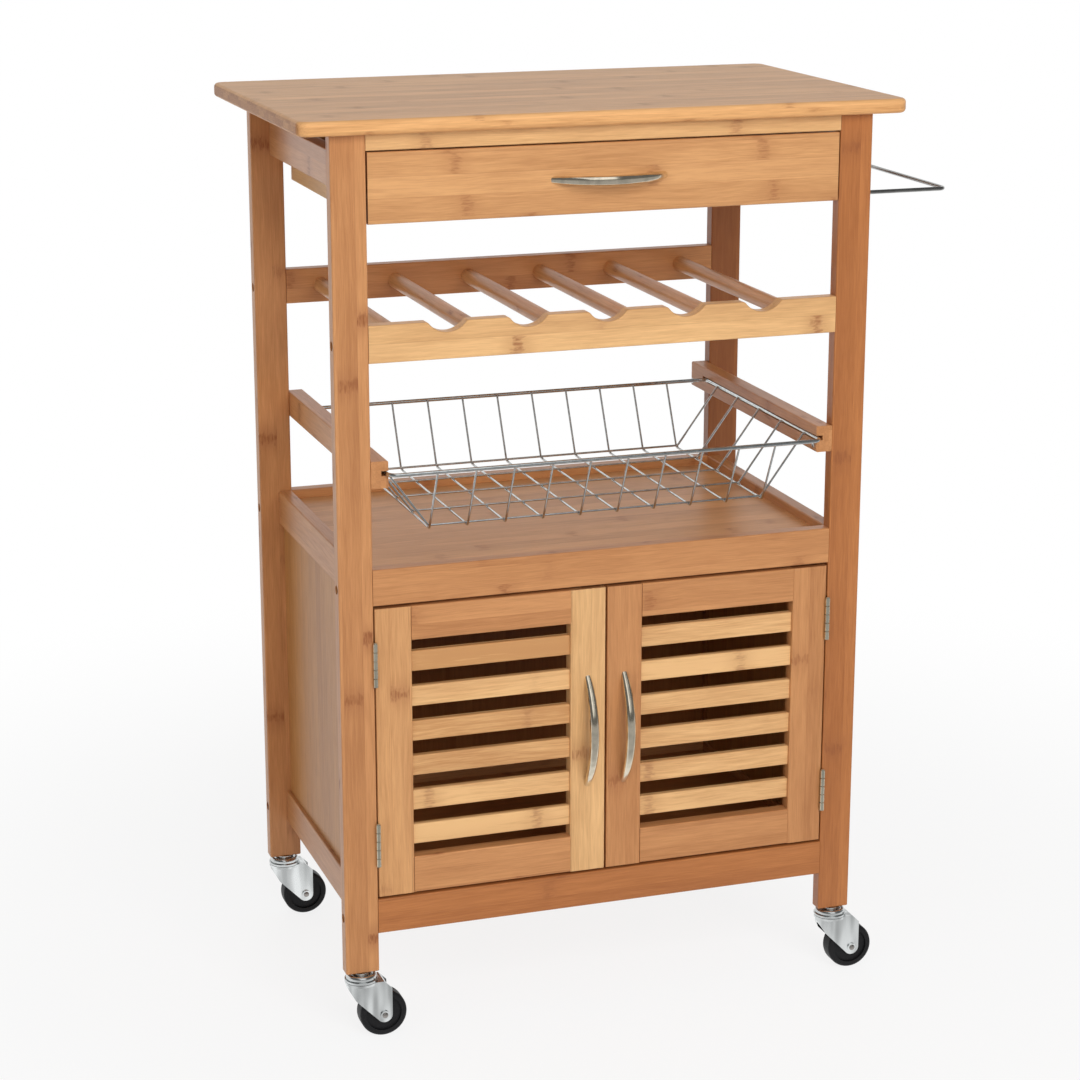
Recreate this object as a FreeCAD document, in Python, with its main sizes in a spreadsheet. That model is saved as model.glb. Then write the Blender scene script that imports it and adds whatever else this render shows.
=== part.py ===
import FreeCAD, Part
import math
import os
import Sketcher
from types import SimpleNamespace

# Rolling kitchen cabinet of laminated bamboo, in millimetres.
# +Z is up and the front faces -Y. The origin is on the floor, under the middle of the outer box.
# Places inside the cabinet are measured from the middle of its four legs.

Vector = FreeCAD.Vector
Rotation = FreeCAD.Rotation

SLATS = 6
NOTCHES = 5
LONG_WIRES = 10
CROSS_WIRES = 5
KNUCKLES = 5
LEFT = -1
RIGHT = 1
FRONT = -1
REAR = 1

SIZES = [
    # Legs and worktop
    ("frame_width", 544),
    ("frame_depth", 338),
    ("leg_width", 34),
    ("leg_depth", 15),
    ("leg_length", 829),
    ("caster_height", 70),
    ("worktop_width", 608),
    ("worktop_depth", 366),
    ("worktop_thickness", 14),
    ("worktop_corner", 12),
    ("worktop_round", 4),
    ("edge_ease", 1.5),
    ("foot_ease", 1.2),
    # Rails, with their places above the legs' feet
    ("rail_height", 36),
    ("side_rail_thickness", 14),
    ("side_rail_inset", 20),
    ("bottom_rail_lift", 40),
    ("cabinet_opening", 302),
    ("basket_space", 80),
    ("rack_space", 94),
    ("top_rail_height", 16),
    ("top_rail_depth", 34),
    ("apron_height", 35),
    ("apron_drop", 24.5),
    # Panels in their grooves
    ("shelf_thickness", 6),
    ("shelf_drop", 9),
    ("panel_thickness", 5),
    ("groove_depth", 5),
    # Bolts and dowels of the frame
    ("bolt_diameter", 6),
    ("bolt_head", 9),
    ("bolt_head_height", 5),
    ("bolt_recess", 10),
    ("bolt_reach", 24),
    ("dowel_diameter", 8),
    ("dowel_in_leg", 10),
    ("dowel_in_rail", 15),
    ("dowel_lift", 10),
    # Bottle rack
    ("rack_pitch", 80.4),
    ("rack_dowel", 16),
    ("rack_dowel_seat", 8),
    ("notch_width", 43),
    ("notch_depth", 10.4),
    ("notch_lip", 4.5),
    # Basket and its runners
    ("runner_width", 17),
    ("runner_height", 26.5),
    ("runner_setback", 5),
    ("slot_height", 5),
    ("slot_depth", 7),
    ("slot_lift", 11.8),
    ("slot_end", 32),
    ("rim_wire", 4),
    ("rim_bend", 9),
    ("rim_engage", 1.4),
    ("basket_slack", 0.3),
    ("basket_jut", 12),
    ("basket_end_gap", 6),
    ("basket_wire", 2.2),
    ("basket_depth", 64),
    ("basket_flare", 34.5),
    ("basket_side_flare", 48),
    ("wire_bend", 4),
    ("wire_weld", 0.05),
    ("long_wire_margin", 0.25),
    ("cross_wire_margin", 3),
    # Drawer
    ("drawer_front_height", 66.5),
    ("drawer_front_thickness", 15),
    ("drawer_gap", 1.4),
    ("drawer_side_gap", 4.8),
    ("drawer_rear_gap", 28),
    ("drawer_wall", 12),
    ("drawer_side_height", 52),
    ("drawer_bottom", 4),
    ("drawer_bottom_lift", 8),
    ("drawer_runner_height", 10),
    ("drawer_runner_gap", 14),
    ("drawer_groove", 6),
    ("drawer_slack", 0.3),
    # Doors
    ("door_thickness", 15),
    ("door_gap", 3),
    ("hinge_gap", 1.2),
    ("meeting_gap", 2),
    ("stile_width", 36.5),
    ("door_top_rail", 34.5),
    ("door_bottom_rail", 37.5),
    ("tenon_length", 10),
    ("tenon_thickness", 6),
    ("tenon_shoulder", 6),
    ("slat_height", 20.6),
    ("slat_thickness", 8),
    ("slat_pitch", 35.8),
    ("slat_seat", 5),
    # Hinges and catch
    ("hinge_length", 44.5),
    ("hinge_inset", 33),
    ("leaf_width", 12),
    ("leaf_thickness", 1),
    ("knuckle_diameter", 5),
    ("knuckle_slack", 0.3),
    ("knuckle_gap", 0.7),
    ("hinge_pin", 2.3),
    ("pin_slack", 0.05),
    ("pin_head", 3.6),
    ("pin_head_height", 1),
    ("catch_width", 56),
    ("catch_depth", 13),
    ("catch_height", 30),
    ("catch_drop", 17),
    ("strike_width", 16),
    ("strike_height", 12),
    ("strike_thickness", 1.2),
    ("strike_gap", 0.4),
    # Bow handles
    ("handle_span", 107.5),
    ("handle_rise", 20),
    ("handle_width", 9.4),
    ("handle_thickness", 8),
    ("handle_neck_width", 8.4),
    ("handle_neck_thickness", 7.2),
    ("handle_tip_width", 5),
    ("handle_tip_thickness", 4.8),
    ("handle_flat", 0.2),
    # Towel rail
    ("towel_rod", 4),
    ("towel_reach", 84.5),
    ("towel_drop", 78.5),
    ("towel_bend", 7),
    ("towel_seat", 9),
    # Casters
    ("wheel_diameter", 48),
    ("wheel_width", 18),
    ("wheel_round", 3),
    ("wheel_trail", 20.6),
    ("web_width", 13),
    ("hub_radius", 7),
    ("tyre_depth", 6),
    ("axle_diameter", 6),
    ("axle_slack", 0.05),
    ("axle_head", 9),
    ("axle_head_height", 1.5),
    ("fork_gap", 1.2),
    ("hub_gap", 0.3),
    ("fork_sheet", 2),
    ("fork_plate", 2.5),
    ("fork_top", 60),
    ("fork_ear", 8),
    ("fork_shoulder", 8),
    ("fork_brow", 3.5),
    ("fork_inset", 1),
    ("fork_heel", 8.2),
    ("fork_heel_lift", 18),
    ("race_diameter", 33.5),
    ("race_height", 6.2),
    ("race_gap", 0.3),
    ("race_taper", 4),
    ("race_lip", 2.6),
    ("race_groove", 0.9),
    ("race_step", 1.3),
    ("stem_collar", 19),
    ("stem_diameter", 8),
    ("stem_seat", 30),
    ("stem_slack", 0.05),
    ("kingpin_head", 13),
    ("kingpin_head_height", 2.8),
]


class Term:
    """A size together with its formula: the formula drives the model, the value draws the first sketch."""

    def __init__(self, text, value):
        self.text = text
        self.value = float(value)

    def __add__(self, other):
        other = as_term(other)
        return Term("(%s + %s)" % (self.text, other.text), self.value + other.value)

    def __sub__(self, other):
        other = as_term(other)
        return Term("(%s - %s)" % (self.text, other.text), self.value - other.value)

    def __mul__(self, other):
        other = as_term(other)
        return Term("(%s * %s)" % (self.text, other.text), self.value * other.value)

    def __truediv__(self, other):
        other = as_term(other)
        return Term("(%s / %s)" % (self.text, other.text), self.value / other.value)

    def __neg__(self):
        return Term("(0 - %s)" % self.text, -self.value)

    def __radd__(self, other):
        return as_term(other) + self

    def __rsub__(self, other):
        return as_term(other) - self

    def __rmul__(self, other):
        return as_term(other) * self

    def root(self):
        return Term("sqrt(%s)" % self.text, self.value ** 0.5)


def as_term(size):
    if isinstance(size, Term):
        return size
    return Term(repr(float(size)), size)


# The document and its sheet of sizes
doc = FreeCAD.newDocument("RollingKitchenCabinet")
sheet = doc.addObject("Spreadsheet::Sheet", "Sizes")
for row, (name, value) in enumerate(SIZES, start=1):
    sheet.set("A%d" % row, name)
    sheet.set("B%d" % row, str(value))
    sheet.setAlias("B%d" % row, name)
doc.recompute()
S = SimpleNamespace(**{name: Term("Sizes." + name, value) for name, value in SIZES})
ZERO = as_term(0)
pieces = []

# Levels, measured up from the floor
foot = S.caster_height
frame_top = foot + S.leg_length
bottom_rail = foot + S.bottom_rail_lift
door_sill = bottom_rail + S.rail_height
tray_rail = door_sill + S.cabinet_opening
runner_level = tray_rail + S.rail_height + S.basket_space
rack_rail = runner_level + S.runner_height + S.rack_space
apron_level = frame_top - S.apron_drop - S.apron_height
drawer_top = frame_top - S.top_rail_height - S.drawer_gap
drawer_level = drawer_top - S.drawer_front_height
towel_level = frame_top - S.towel_drop
shelf_offset = S.rail_height - S.shelf_drop - S.shelf_thickness

# Places across and along the cabinet
opening = S.frame_width - 2 * S.leg_width
side_length = S.frame_depth - 2 * S.leg_depth
leg_x = S.frame_width / 2 - S.leg_width / 2
leg_y = S.frame_depth / 2 - S.leg_depth / 2
front = -(S.frame_depth / 2)
side_rail_x = S.frame_width / 2 - S.side_rail_inset - S.side_rail_thickness / 2
runner_length = S.frame_depth - S.runner_setback
drawer_length = S.frame_depth - S.drawer_front_thickness - S.drawer_rear_gap
drawer_runner_length = side_length - 2 * S.drawer_runner_gap
handle_reach = S.handle_rise + S.handle_thickness / 2
towel_bar_x = S.frame_width / 2 + S.towel_reach

# The middle of the legs, seen from the middle of the outer box
center_x = (S.worktop_width / 2 - towel_bar_x - S.towel_rod / 2) / 2
center_y = (S.frame_depth / 2 + handle_reach - S.worktop_depth / 2) / 2


def place(piece, x, y, z, turn=None):
    """Puts a piece's own origin at a point measured from the middle of the legs, on the floor."""
    spots = {"x": center_x + x, "y": center_y + y, "z": as_term(z)}
    base = Vector(*(spot.value for spot in spots.values()))
    piece.Placement = FreeCAD.Placement(base, turn or Rotation())
    for axis, spot in spots.items():
        piece.setExpression("Placement.Base." + axis, spot.text)


def new_body(label):
    body = doc.addObject("PartDesign::Body", label)
    body.Label = label
    body.AllowCompound = True
    return body


def keep(piece, label):
    """Names a finished sub-part, so that it is written to its own file."""
    piece.Label = label
    pieces.append(piece)
    return piece


def group(label, members):
    """Several separate solids that share one name."""
    compound = doc.addObject("Part::Compound", label)
    compound.Links = members
    return keep(compound, label)


def mirrored(piece):
    """The same piece on the other side of the cabinet."""
    twin = doc.addObject("Part::Mirroring", piece.Name + "_twin")
    twin.Source = piece
    twin.Normal = Vector(1, 0, 0)
    twin.Base = Vector(center_x.value, 0, 0)
    twin.setExpression("Base.x", center_x.text)
    return twin


def origin_plane(body, plane):
    return [feature for feature in body.Origin.OriginFeatures if feature.Role == plane + "_Plane"][0]


def origin_axis(body, axis):
    return [feature for feature in body.Origin.OriginFeatures if feature.Role == axis + "_Axis"][0]


def new_sketch(body, plane, at):
    """A sketch on one of the body's own planes, moved along that plane's axis to the given place."""
    sketch = body.newObject("Sketcher::SketchObject", body.Name + "_sketch")
    sketch.AttachmentSupport = [(origin_plane(body, plane), "")]
    sketch.MapMode = "FlatFace"
    lift = -at if plane == "XZ" else at
    sketch.AttachmentOffset = FreeCAD.Placement(Vector(0, 0, lift.value), Rotation())
    sketch.setExpression("AttachmentOffset.Base.z", lift.text)
    return sketch


def bind(sketch, kind, size, *points):
    """Adds a dimension to a sketch and ties it to its formula."""
    index = sketch.addConstraint(Sketcher.Constraint(kind, *points, size.value))
    label = "%s%d" % (kind, index)
    sketch.renameConstraint(index, label)
    sketch.setExpression("Constraints." + label, size.text)


def pin_point(sketch, geometry, end, x, y):
    """Fixes a point of the sketch by its two distances from the sketch's origin."""
    if x is ZERO:
        sketch.addConstraint(Sketcher.Constraint("PointOnObject", geometry, end, -2))
    else:
        bind(sketch, "DistanceX", x, -1, 1, geometry, end)
    if y is ZERO:
        sketch.addConstraint(Sketcher.Constraint("PointOnObject", geometry, end, -1))
    else:
        bind(sketch, "DistanceY", y, -1, 1, geometry, end)


def add_line(sketch, start, end):
    return sketch.addGeometry(Part.LineSegment(Vector(*start, 0), Vector(*end, 0)))


def add_arc(sketch, center, radius, start, end):
    circle = Part.Circle(Vector(*center, 0), Vector(0, 0, 1), radius)
    return sketch.addGeometry(Part.ArcOfCircle(circle, math.radians(start), math.radians(end)))


def outline(*points):
    """A closed outline of straight edges."""
    def draw(sketch):
        spots = [(x.value, y.value) for x, y in points]
        lines = [add_line(sketch, a, b) for a, b in zip(spots, spots[1:] + spots[:1])]
        for line, after in zip(lines, lines[1:] + lines[:1]):
            sketch.addConstraint(Sketcher.Constraint("Coincident", line, 2, after, 1))
        for line, (x, y) in zip(lines, points):
            pin_point(sketch, line, 1, x, y)
    return draw


def box(left, right, low, high, radius=None):
    """A rectangle given by its four sides, with rounded corners if a radius is given."""
    if radius is None:
        return outline((left, low), (right, low), (right, high), (left, high))

    def draw(sketch):
        r = radius.value
        x0, x1, y0, y1 = left.value, right.value, low.value, high.value
        lines = [
            add_line(sketch, (x0 + r, y0), (x1 - r, y0)),
            add_line(sketch, (x1, y0 + r), (x1, y1 - r)),
            add_line(sketch, (x1 - r, y1), (x0 + r, y1)),
            add_line(sketch, (x0, y1 - r), (x0, y0 + r)),
        ]
        arcs = [
            add_arc(sketch, (x1 - r, y0 + r), r, 270, 360),
            add_arc(sketch, (x1 - r, y1 - r), r, 0, 90),
            add_arc(sketch, (x0 + r, y1 - r), r, 90, 180),
            add_arc(sketch, (x0 + r, y0 + r), r, 180, 270),
        ]
        for line, arc, after in zip(lines, arcs, lines[1:] + lines[:1]):
            sketch.addConstraint(Sketcher.Constraint("Tangent", line, 2, arc, 1))
            sketch.addConstraint(Sketcher.Constraint("Tangent", arc, 2, after, 1))
        for line, kind in zip(lines, ("Horizontal", "Vertical", "Horizontal", "Vertical")):
            sketch.addConstraint(Sketcher.Constraint(kind, line))
        for arc in arcs[1:]:
            sketch.addConstraint(Sketcher.Constraint("Equal", arcs[0], arc))
        bind(sketch, "Radius", radius, arcs[0])
        bind(sketch, "DistanceY", low, -1, 1, lines[0], 1)
        bind(sketch, "DistanceX", right, -1, 1, lines[1], 1)
        bind(sketch, "DistanceY", high, -1, 1, lines[2], 1)
        bind(sketch, "DistanceX", left, -1, 1, lines[3], 1)
    return draw


def disc(x, y, diameter):
    """A full circle."""
    def draw(sketch):
        circle = Part.Circle(Vector(x.value, y.value, 0), Vector(0, 0, 1), diameter.value / 2)
        geometry = sketch.addGeometry(circle)
        pin_point(sketch, geometry, 3, x, y)
        bind(sketch, "Diameter", diameter, geometry)
    return draw


def notched(half_length, half_height, places, half_mouth, depth, lip):
    """A long rectangle whose upper side has round notches with rounded lips."""
    reach = (half_mouth * half_mouth + depth * depth) / (2 * depth)
    hollow = reach - lip

    def draw(sketch):
        x, z = half_length.value, half_height.value
        a, r, big = half_mouth.value, lip.value, hollow.value
        turn = math.degrees(math.atan2(a, reach.value - depth.value))
        starts = [x] + [spot.value - a for spot in places]
        ends = [spot.value + a for spot in places] + [-x]
        edges = [add_line(sketch, (start, z), (end, z)) for start, end in zip(starts, ends)]
        left = add_line(sketch, (-x, z), (-x, -z))
        under = add_line(sketch, (-x, -z), (x, -z))
        right = add_line(sketch, (x, -z), (x, z))
        ring = [edges[-1], left, under, right, edges[0]]
        for line, after in zip(ring, ring[1:]):
            sketch.addConstraint(Sketcher.Constraint("Coincident", line, 2, after, 1))
        pin_point(sketch, left, 1, -half_length, half_height)
        pin_point(sketch, under, 1, -half_length, -half_height)
        pin_point(sketch, right, 1, half_length, -half_height)
        pin_point(sketch, edges[0], 1, half_length, half_height)
        sketch.addConstraint(Sketcher.Constraint("Horizontal", edges[0]))
        for edge, after, spot in zip(edges, edges[1:], places):
            c = spot.value
            near = add_arc(sketch, (c + a, z - r), r, 90, 90 + turn)
            bowl = add_arc(sketch, (c, z - depth.value + big), big, 270 - turn, 270 + turn)
            far = add_arc(sketch, (c - a, z - r), r, 90 - turn, 90)
            sketch.addConstraint(Sketcher.Constraint("Tangent", edge, 2, near, 1))
            sketch.addConstraint(Sketcher.Constraint("Tangent", near, 2, bowl, 2))
            sketch.addConstraint(Sketcher.Constraint("Tangent", bowl, 1, far, 1))
            sketch.addConstraint(Sketcher.Constraint("Tangent", far, 2, after, 1))
            sketch.addConstraint(Sketcher.Constraint("Equal", near, far))
            bind(sketch, "Radius", lip, near)
            bind(sketch, "Radius", hollow, bowl)
            bind(sketch, "DistanceX", spot + half_mouth, -1, 1, edge, 2)
            pin_point(sketch, after, 1, spot - half_mouth, half_height)
            if after != edges[-1]:
                sketch.addConstraint(Sketcher.Constraint("Horizontal", after))
    return draw


def route(points, bend):
    """The middle line of a bent rod: straight runs joined by arcs that all turn left."""
    def draw(sketch):
        spots = [Vector(x.value, y.value, 0) for x, y in points]
        ways = [(b - a).normalize() for a, b in zip(spots, spots[1:])]
        starts = [spots[0]]
        ends = []
        bends = []
        for spot, before, after in zip(spots[1:-1], ways, ways[1:]):
            turn = before.getAngle(after)
            run = bend.value * math.tan(turn / 2)
            ends.append(spot - before * run)
            starts.append(spot + after * run)
            center = ends[-1] + Vector(-before.y, before.x, 0) * bend.value
            heading = math.degrees(math.atan2(-before.x, before.y))
            bends.append(((center.x, center.y), heading, heading + math.degrees(turn)))
        ends.append(spots[-1])
        lines = []
        arcs = []
        for index, (start, end) in enumerate(zip(starts, ends)):
            lines.append(add_line(sketch, (start.x, start.y), (end.x, end.y)))
            if index < len(bends):
                center, first, last = bends[index]
                arcs.append(add_arc(sketch, center, bend.value, first, last))
        for line, arc, after, corner in zip(lines, arcs, lines[1:], points[1:-1]):
            sketch.addConstraint(Sketcher.Constraint("Tangent", line, 2, arc, 1))
            sketch.addConstraint(Sketcher.Constraint("Tangent", arc, 2, after, 1))
            bind(sketch, "Radius", bend, arc)
            mark = sketch.addGeometry(Part.Point(Vector(corner[0].value, corner[1].value, 0)), True)
            pin_point(sketch, mark, 1, *corner)
            sketch.addConstraint(Sketcher.Constraint("PointOnObject", mark, 1, line))
            sketch.addConstraint(Sketcher.Constraint("PointOnObject", mark, 1, after))
        pin_point(sketch, lines[0], 1, *points[0])
        pin_point(sketch, lines[-1], 2, *points[-1])
    return draw


def extrude(body, kind, plane, at, length, *outlines):
    """Pads or pockets outlines evenly to both sides of a plane."""
    sketch = new_sketch(body, plane, at)
    for draw in outlines:
        draw(sketch)
    feature = body.newObject("PartDesign::" + kind, body.Name + "_" + kind.lower())
    feature.Profile = sketch
    feature.SideType = "Symmetric"
    feature.Length = length.value
    feature.setExpression("Length", length.text)
    return feature


def pad(body, plane, at, length, *outlines):
    return extrude(body, "Pad", plane, at, length, *outlines)


def pocket(body, plane, at, length, *outlines):
    return extrude(body, "Pocket", plane, at, length, *outlines)


def revolve(body, *outlines):
    """Turns outlines in the XZ plane about the body's own Z axis."""
    sketch = new_sketch(body, "XZ", ZERO)
    for draw in outlines:
        draw(sketch)
    feature = body.newObject("PartDesign::Revolution", body.Name + "_revolution")
    feature.Profile = sketch
    feature.ReferenceAxis = (sketch, ["V_Axis"])
    feature.Angle = 360
    return feature


def pipe(body, path, diameter):
    """A round rod along a sketched path."""
    doc.recompute()
    section = body.newObject("Sketcher::SketchObject", body.Name + "_section")
    section.AttachmentSupport = [(path, "Edge1")]
    section.MapMode = "NormalToEdge"
    section.MapPathParameter = 0
    disc(ZERO, ZERO, diameter)(section)
    feature = body.newObject("PartDesign::AdditivePipe", body.Name + "_pipe")
    feature.Profile = section
    feature.Spine = path
    return feature


def repeat(body, feature, axis, pitch, count):
    """Repeats a feature of the body along one of its axes."""
    pattern = body.newObject("PartDesign::LinearPattern", body.Name + "_pattern")
    pattern.Originals = [feature]
    pattern.Direction = (origin_axis(body, axis), [""])
    pattern.Mode = "Spacing"
    pattern.Offset = pitch.value
    pattern.setExpression("Offset", pitch.text)
    pattern.Occurrences = count
    body.Tip = pattern
    return pattern


def fillet(body, feature, radius, chosen):
    """Rounds the edges of a feature that the given test picks."""
    doc.recompute()
    edges = ["Edge%d" % number for number, edge in enumerate(feature.Shape.Edges, start=1) if chosen(edge)]
    rounding = body.newObject("PartDesign::Fillet", body.Name + "_fillet")
    rounding.Base = (feature, edges)
    rounding.Radius = radius.value
    rounding.setExpression("Radius", radius.text)
    return rounding


def board(label, axis, wide, high, length):
    """A straight board with eased long edges, centred on its own origin."""
    body = new_body(label)
    plane = {"X": "YZ", "Y": "XZ", "Z": "XY"}[axis]
    section = box(-wide / 2, wide / 2, -high / 2, high / 2, S.edge_ease)
    pad(body, plane, ZERO, length, section)
    return body


def rod(label, axis, diameter, length, x, y, z):
    """A plain round rod, given by its middle."""
    turns = {"X": Rotation(Vector(0, 1, 0), 90), "Y": Rotation(Vector(1, 0, 0), -90), "Z": Rotation()}
    start = {"X": x, "Y": y, "Z": z}
    start[axis] = start[axis] - length / 2
    cylinder = doc.addObject("Part::Cylinder", label)
    cylinder.setExpression("Radius", (diameter / 2).text)
    cylinder.setExpression("Height", length.text)
    place(cylinder, start["X"], start["Y"], start["Z"], turns[axis])
    return cylinder


# Heights of the frame bolts and of the joint dowels
bolt_levels = [level + S.rail_height / 2 for level in (bottom_rail, tray_rail, rack_rail)]
side_dowel_levels = [bottom_rail + S.dowel_lift, tray_rail + S.dowel_lift, apron_level + S.apron_height / 2]
top_dowel_level = frame_top - S.top_rail_height / 2

# Height, width and hinge line of a door
door_width = (opening - 2 * S.hinge_gap - S.meeting_gap) / 2
door_height = S.cabinet_opening - 2 * S.door_gap
door_level = door_sill + S.door_gap
hinge_levels = [door_level + S.hinge_inset, door_level + door_height - S.hinge_inset - S.hinge_length]
hinge_x = opening / 2 - S.hinge_gap / 2
hinge_out = S.knuckle_diameter / 2 + S.knuckle_slack
hinge_y = front - hinge_out


def leg(label, side, row):
    """A board-shaped leg with its bolt, dowel and stem holes, hinge recesses and towel-rail hole."""
    body = new_body(label)
    section = box(-S.leg_width / 2, S.leg_width / 2, -S.leg_depth / 2, S.leg_depth / 2, S.edge_ease)
    post = pad(body, "XY", S.leg_length / 2, S.leg_length, section)
    fillet(body, post, S.foot_ease, lambda edge: edge.BoundBox.ZMax < 0.01)
    bolts = [level - foot for level in bolt_levels]
    pocket(body, "YZ", ZERO, S.leg_width + S.bolt_recess, *[disc(ZERO, z, S.bolt_diameter) for z in bolts])
    outer = side * (S.leg_width / 2 - S.bolt_recess / 2)
    pocket(body, "YZ", outer, S.bolt_recess, *[disc(ZERO, z, S.bolt_head) for z in bolts])
    inner_y = -row * (S.leg_depth / 2 - S.dowel_in_leg / 2)
    dowel_x = side * (side_rail_x - leg_x)
    dowels = [disc(dowel_x, level - foot, S.dowel_diameter) for level in side_dowel_levels]
    pocket(body, "XZ", inner_y, S.dowel_in_leg, *dowels)
    inner_x = -side * (S.leg_width / 2 - S.dowel_in_leg / 2)
    pocket(body, "YZ", inner_x, S.dowel_in_leg, disc(ZERO, top_dowel_level - foot, S.dowel_diameter))
    pocket(body, "XY", S.stem_seat / 2, S.stem_seat, disc(ZERO, ZERO, S.stem_diameter))
    if row == FRONT:
        recess_x = -side * (S.leg_width / 2 - S.leaf_thickness / 2)
        edge = -(S.leg_depth / 2)
        for level in hinge_levels:
            low = level - foot
            recess = box(edge - S.edge_ease, edge + S.leaf_width, low, low + S.hinge_length)
            pocket(body, "YZ", recess_x, S.leaf_thickness, recess)
    if side == RIGHT:
        seat_x = S.leg_width / 2 - S.towel_seat / 2
        pocket(body, "YZ", seat_x, S.towel_seat, disc(ZERO, towel_level - foot, S.towel_rod))
    place(body, side * leg_x, row * leg_y, foot)
    return keep(body, label)


def worktop():
    """The top board, with rounded corners and rounded upper and lower edges."""
    body = new_body("worktop")
    half_x = S.worktop_width / 2
    half_y = S.worktop_depth / 2
    slab = pad(body, "XY", S.worktop_thickness / 2, S.worktop_thickness,
               box(-half_x, half_x, -half_y, half_y, S.worktop_corner))
    fillet(body, slab, S.worktop_round, lambda edge: edge.BoundBox.ZLength < 0.01)
    place(body, ZERO, ZERO, frame_top)
    return keep(body, "worktop")


def top_rail(label, row):
    """A flat rail under the worktop, between two legs."""
    body = board(label, "X", S.top_rail_depth, S.top_rail_height, opening)
    joint_y = row * (S.top_rail_depth / 2 - S.leg_depth / 2)
    for end in (LEFT, RIGHT):
        at = end * (opening / 2 - S.dowel_in_rail / 2)
        pocket(body, "YZ", at, S.dowel_in_rail, disc(joint_y, ZERO, S.dowel_diameter))
    rail_y = row * (S.frame_depth / 2 - S.top_rail_depth / 2)
    place(body, ZERO, rail_y, frame_top - S.top_rail_height / 2)
    return keep(body, label)


def cross_rail(label, level, row, blank=None):
    """A rail across the front or back between two legs, bolted at both ends."""
    body = blank or board(label, "X", S.leg_depth, S.rail_height, opening)
    for end in (LEFT, RIGHT):
        at = end * (opening / 2 - S.bolt_reach / 2)
        pocket(body, "YZ", at, S.bolt_reach, disc(ZERO, ZERO, S.bolt_diameter))
    place(body, ZERO, row * leg_y, level + S.rail_height / 2)
    return keep(body, label)


def shelf_groove(body, inner_y, length):
    """The groove along a cross rail's inner face that holds a shelf panel."""
    low = shelf_offset - S.rail_height / 2
    groove = box(inner_y - S.groove_depth, inner_y + S.groove_depth, low, low + S.shelf_thickness)
    pocket(body, "YZ", ZERO, length, groove)


def shelf_cross_rail(label, level, row, panel_edge):
    """A cross rail that holds a shelf panel and, at the back, the edge of the back panel."""
    body = cross_rail(label, level, row)
    shelf_groove(body, -row * S.leg_depth / 2, opening)
    if row == REAR:
        edge = panel_edge * S.rail_height / 2
        half = S.panel_thickness / 2
        groove = box(-half, half, edge - S.groove_depth, edge + S.groove_depth)
        pocket(body, "YZ", ZERO, opening, groove)
    return body


def side_rails(label, level, height, panel_edge=None):
    """A pair of rails from front to back, set in from the legs' outer faces."""
    body = board(label + "_right", "Y", S.side_rail_thickness, height, side_length)
    if panel_edge is None:
        dowel_z = ZERO
    else:
        dowel_z = S.dowel_lift - height / 2
        low = shelf_offset - height / 2
        inner = -(S.side_rail_thickness / 2)
        shelf = box(inner - S.groove_depth, inner + S.groove_depth, low, low + S.shelf_thickness)
        edge = panel_edge * height / 2
        half = S.panel_thickness / 2
        panel = box(-half, half, edge - S.groove_depth, edge + S.groove_depth)
        pocket(body, "XZ", ZERO, side_length, shelf, panel)
    for end in (FRONT, REAR):
        at = end * (side_length / 2 - S.dowel_in_rail / 2)
        pocket(body, "XZ", at, S.dowel_in_rail, disc(ZERO, dowel_z, S.dowel_diameter))
    place(body, side_rail_x, ZERO, level + height / 2)
    return group(label, [body, mirrored(body)])


def shelf_panel(label, rail_level):
    """A shelf board whose tongues sit in the four rails round it, cut away at the legs."""
    body = new_body(label)
    across = opening / 2
    along = side_length / 2
    tongue = S.groove_depth
    pad(body, "XY", S.shelf_thickness / 2, S.shelf_thickness,
        box(-across - tongue, across + tongue, -along, along))
    pad(body, "XY", S.shelf_thickness / 2, S.shelf_thickness,
        box(-across, across, -along - tongue, along + tongue))
    place(body, ZERO, ZERO, rail_level + shelf_offset)
    return keep(body, label)


def wall_panels():
    """The thin side panels and back panel of the cabinet, held by the rails above and below."""
    height = S.cabinet_opening + 2 * S.groove_depth
    middle = door_sill + S.cabinet_opening / 2
    half = S.panel_thickness / 2
    side = new_body("side_panel_right")
    pad(side, "XY", ZERO, height, box(-half, half, -side_length / 2, side_length / 2))
    place(side, side_rail_x, ZERO, middle)
    group("side_panels", [side, mirrored(side)])
    back = new_body("back_panel")
    pad(back, "XY", ZERO, height, box(-opening / 2, opening / 2, -half, half))
    place(back, ZERO, leg_y, middle)
    keep(back, "back_panel")


def frame_bolts():
    """Twelve bolts through the legs into the ends of the cross rails."""
    bolts = []
    for side in (LEFT, RIGHT):
        face = S.frame_width / 2 - S.bolt_recess
        head_x = side * (face + S.bolt_head_height / 2)
        shank = face - opening / 2 + S.bolt_reach
        shank_x = side * (face - shank / 2)
        for row in (FRONT, REAR):
            for level in bolt_levels:
                head = rod("bolt_head", "X", S.bolt_head, S.bolt_head_height, head_x, row * leg_y, level)
                stem = rod("bolt_shank", "X", S.bolt_diameter, shank, shank_x, row * leg_y, level)
                bolt = doc.addObject("Part::Fuse", "frame_bolt")
                bolt.Base = head
                bolt.Tool = stem
                bolts.append(bolt)
    group("frame_bolts", bolts)


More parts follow.
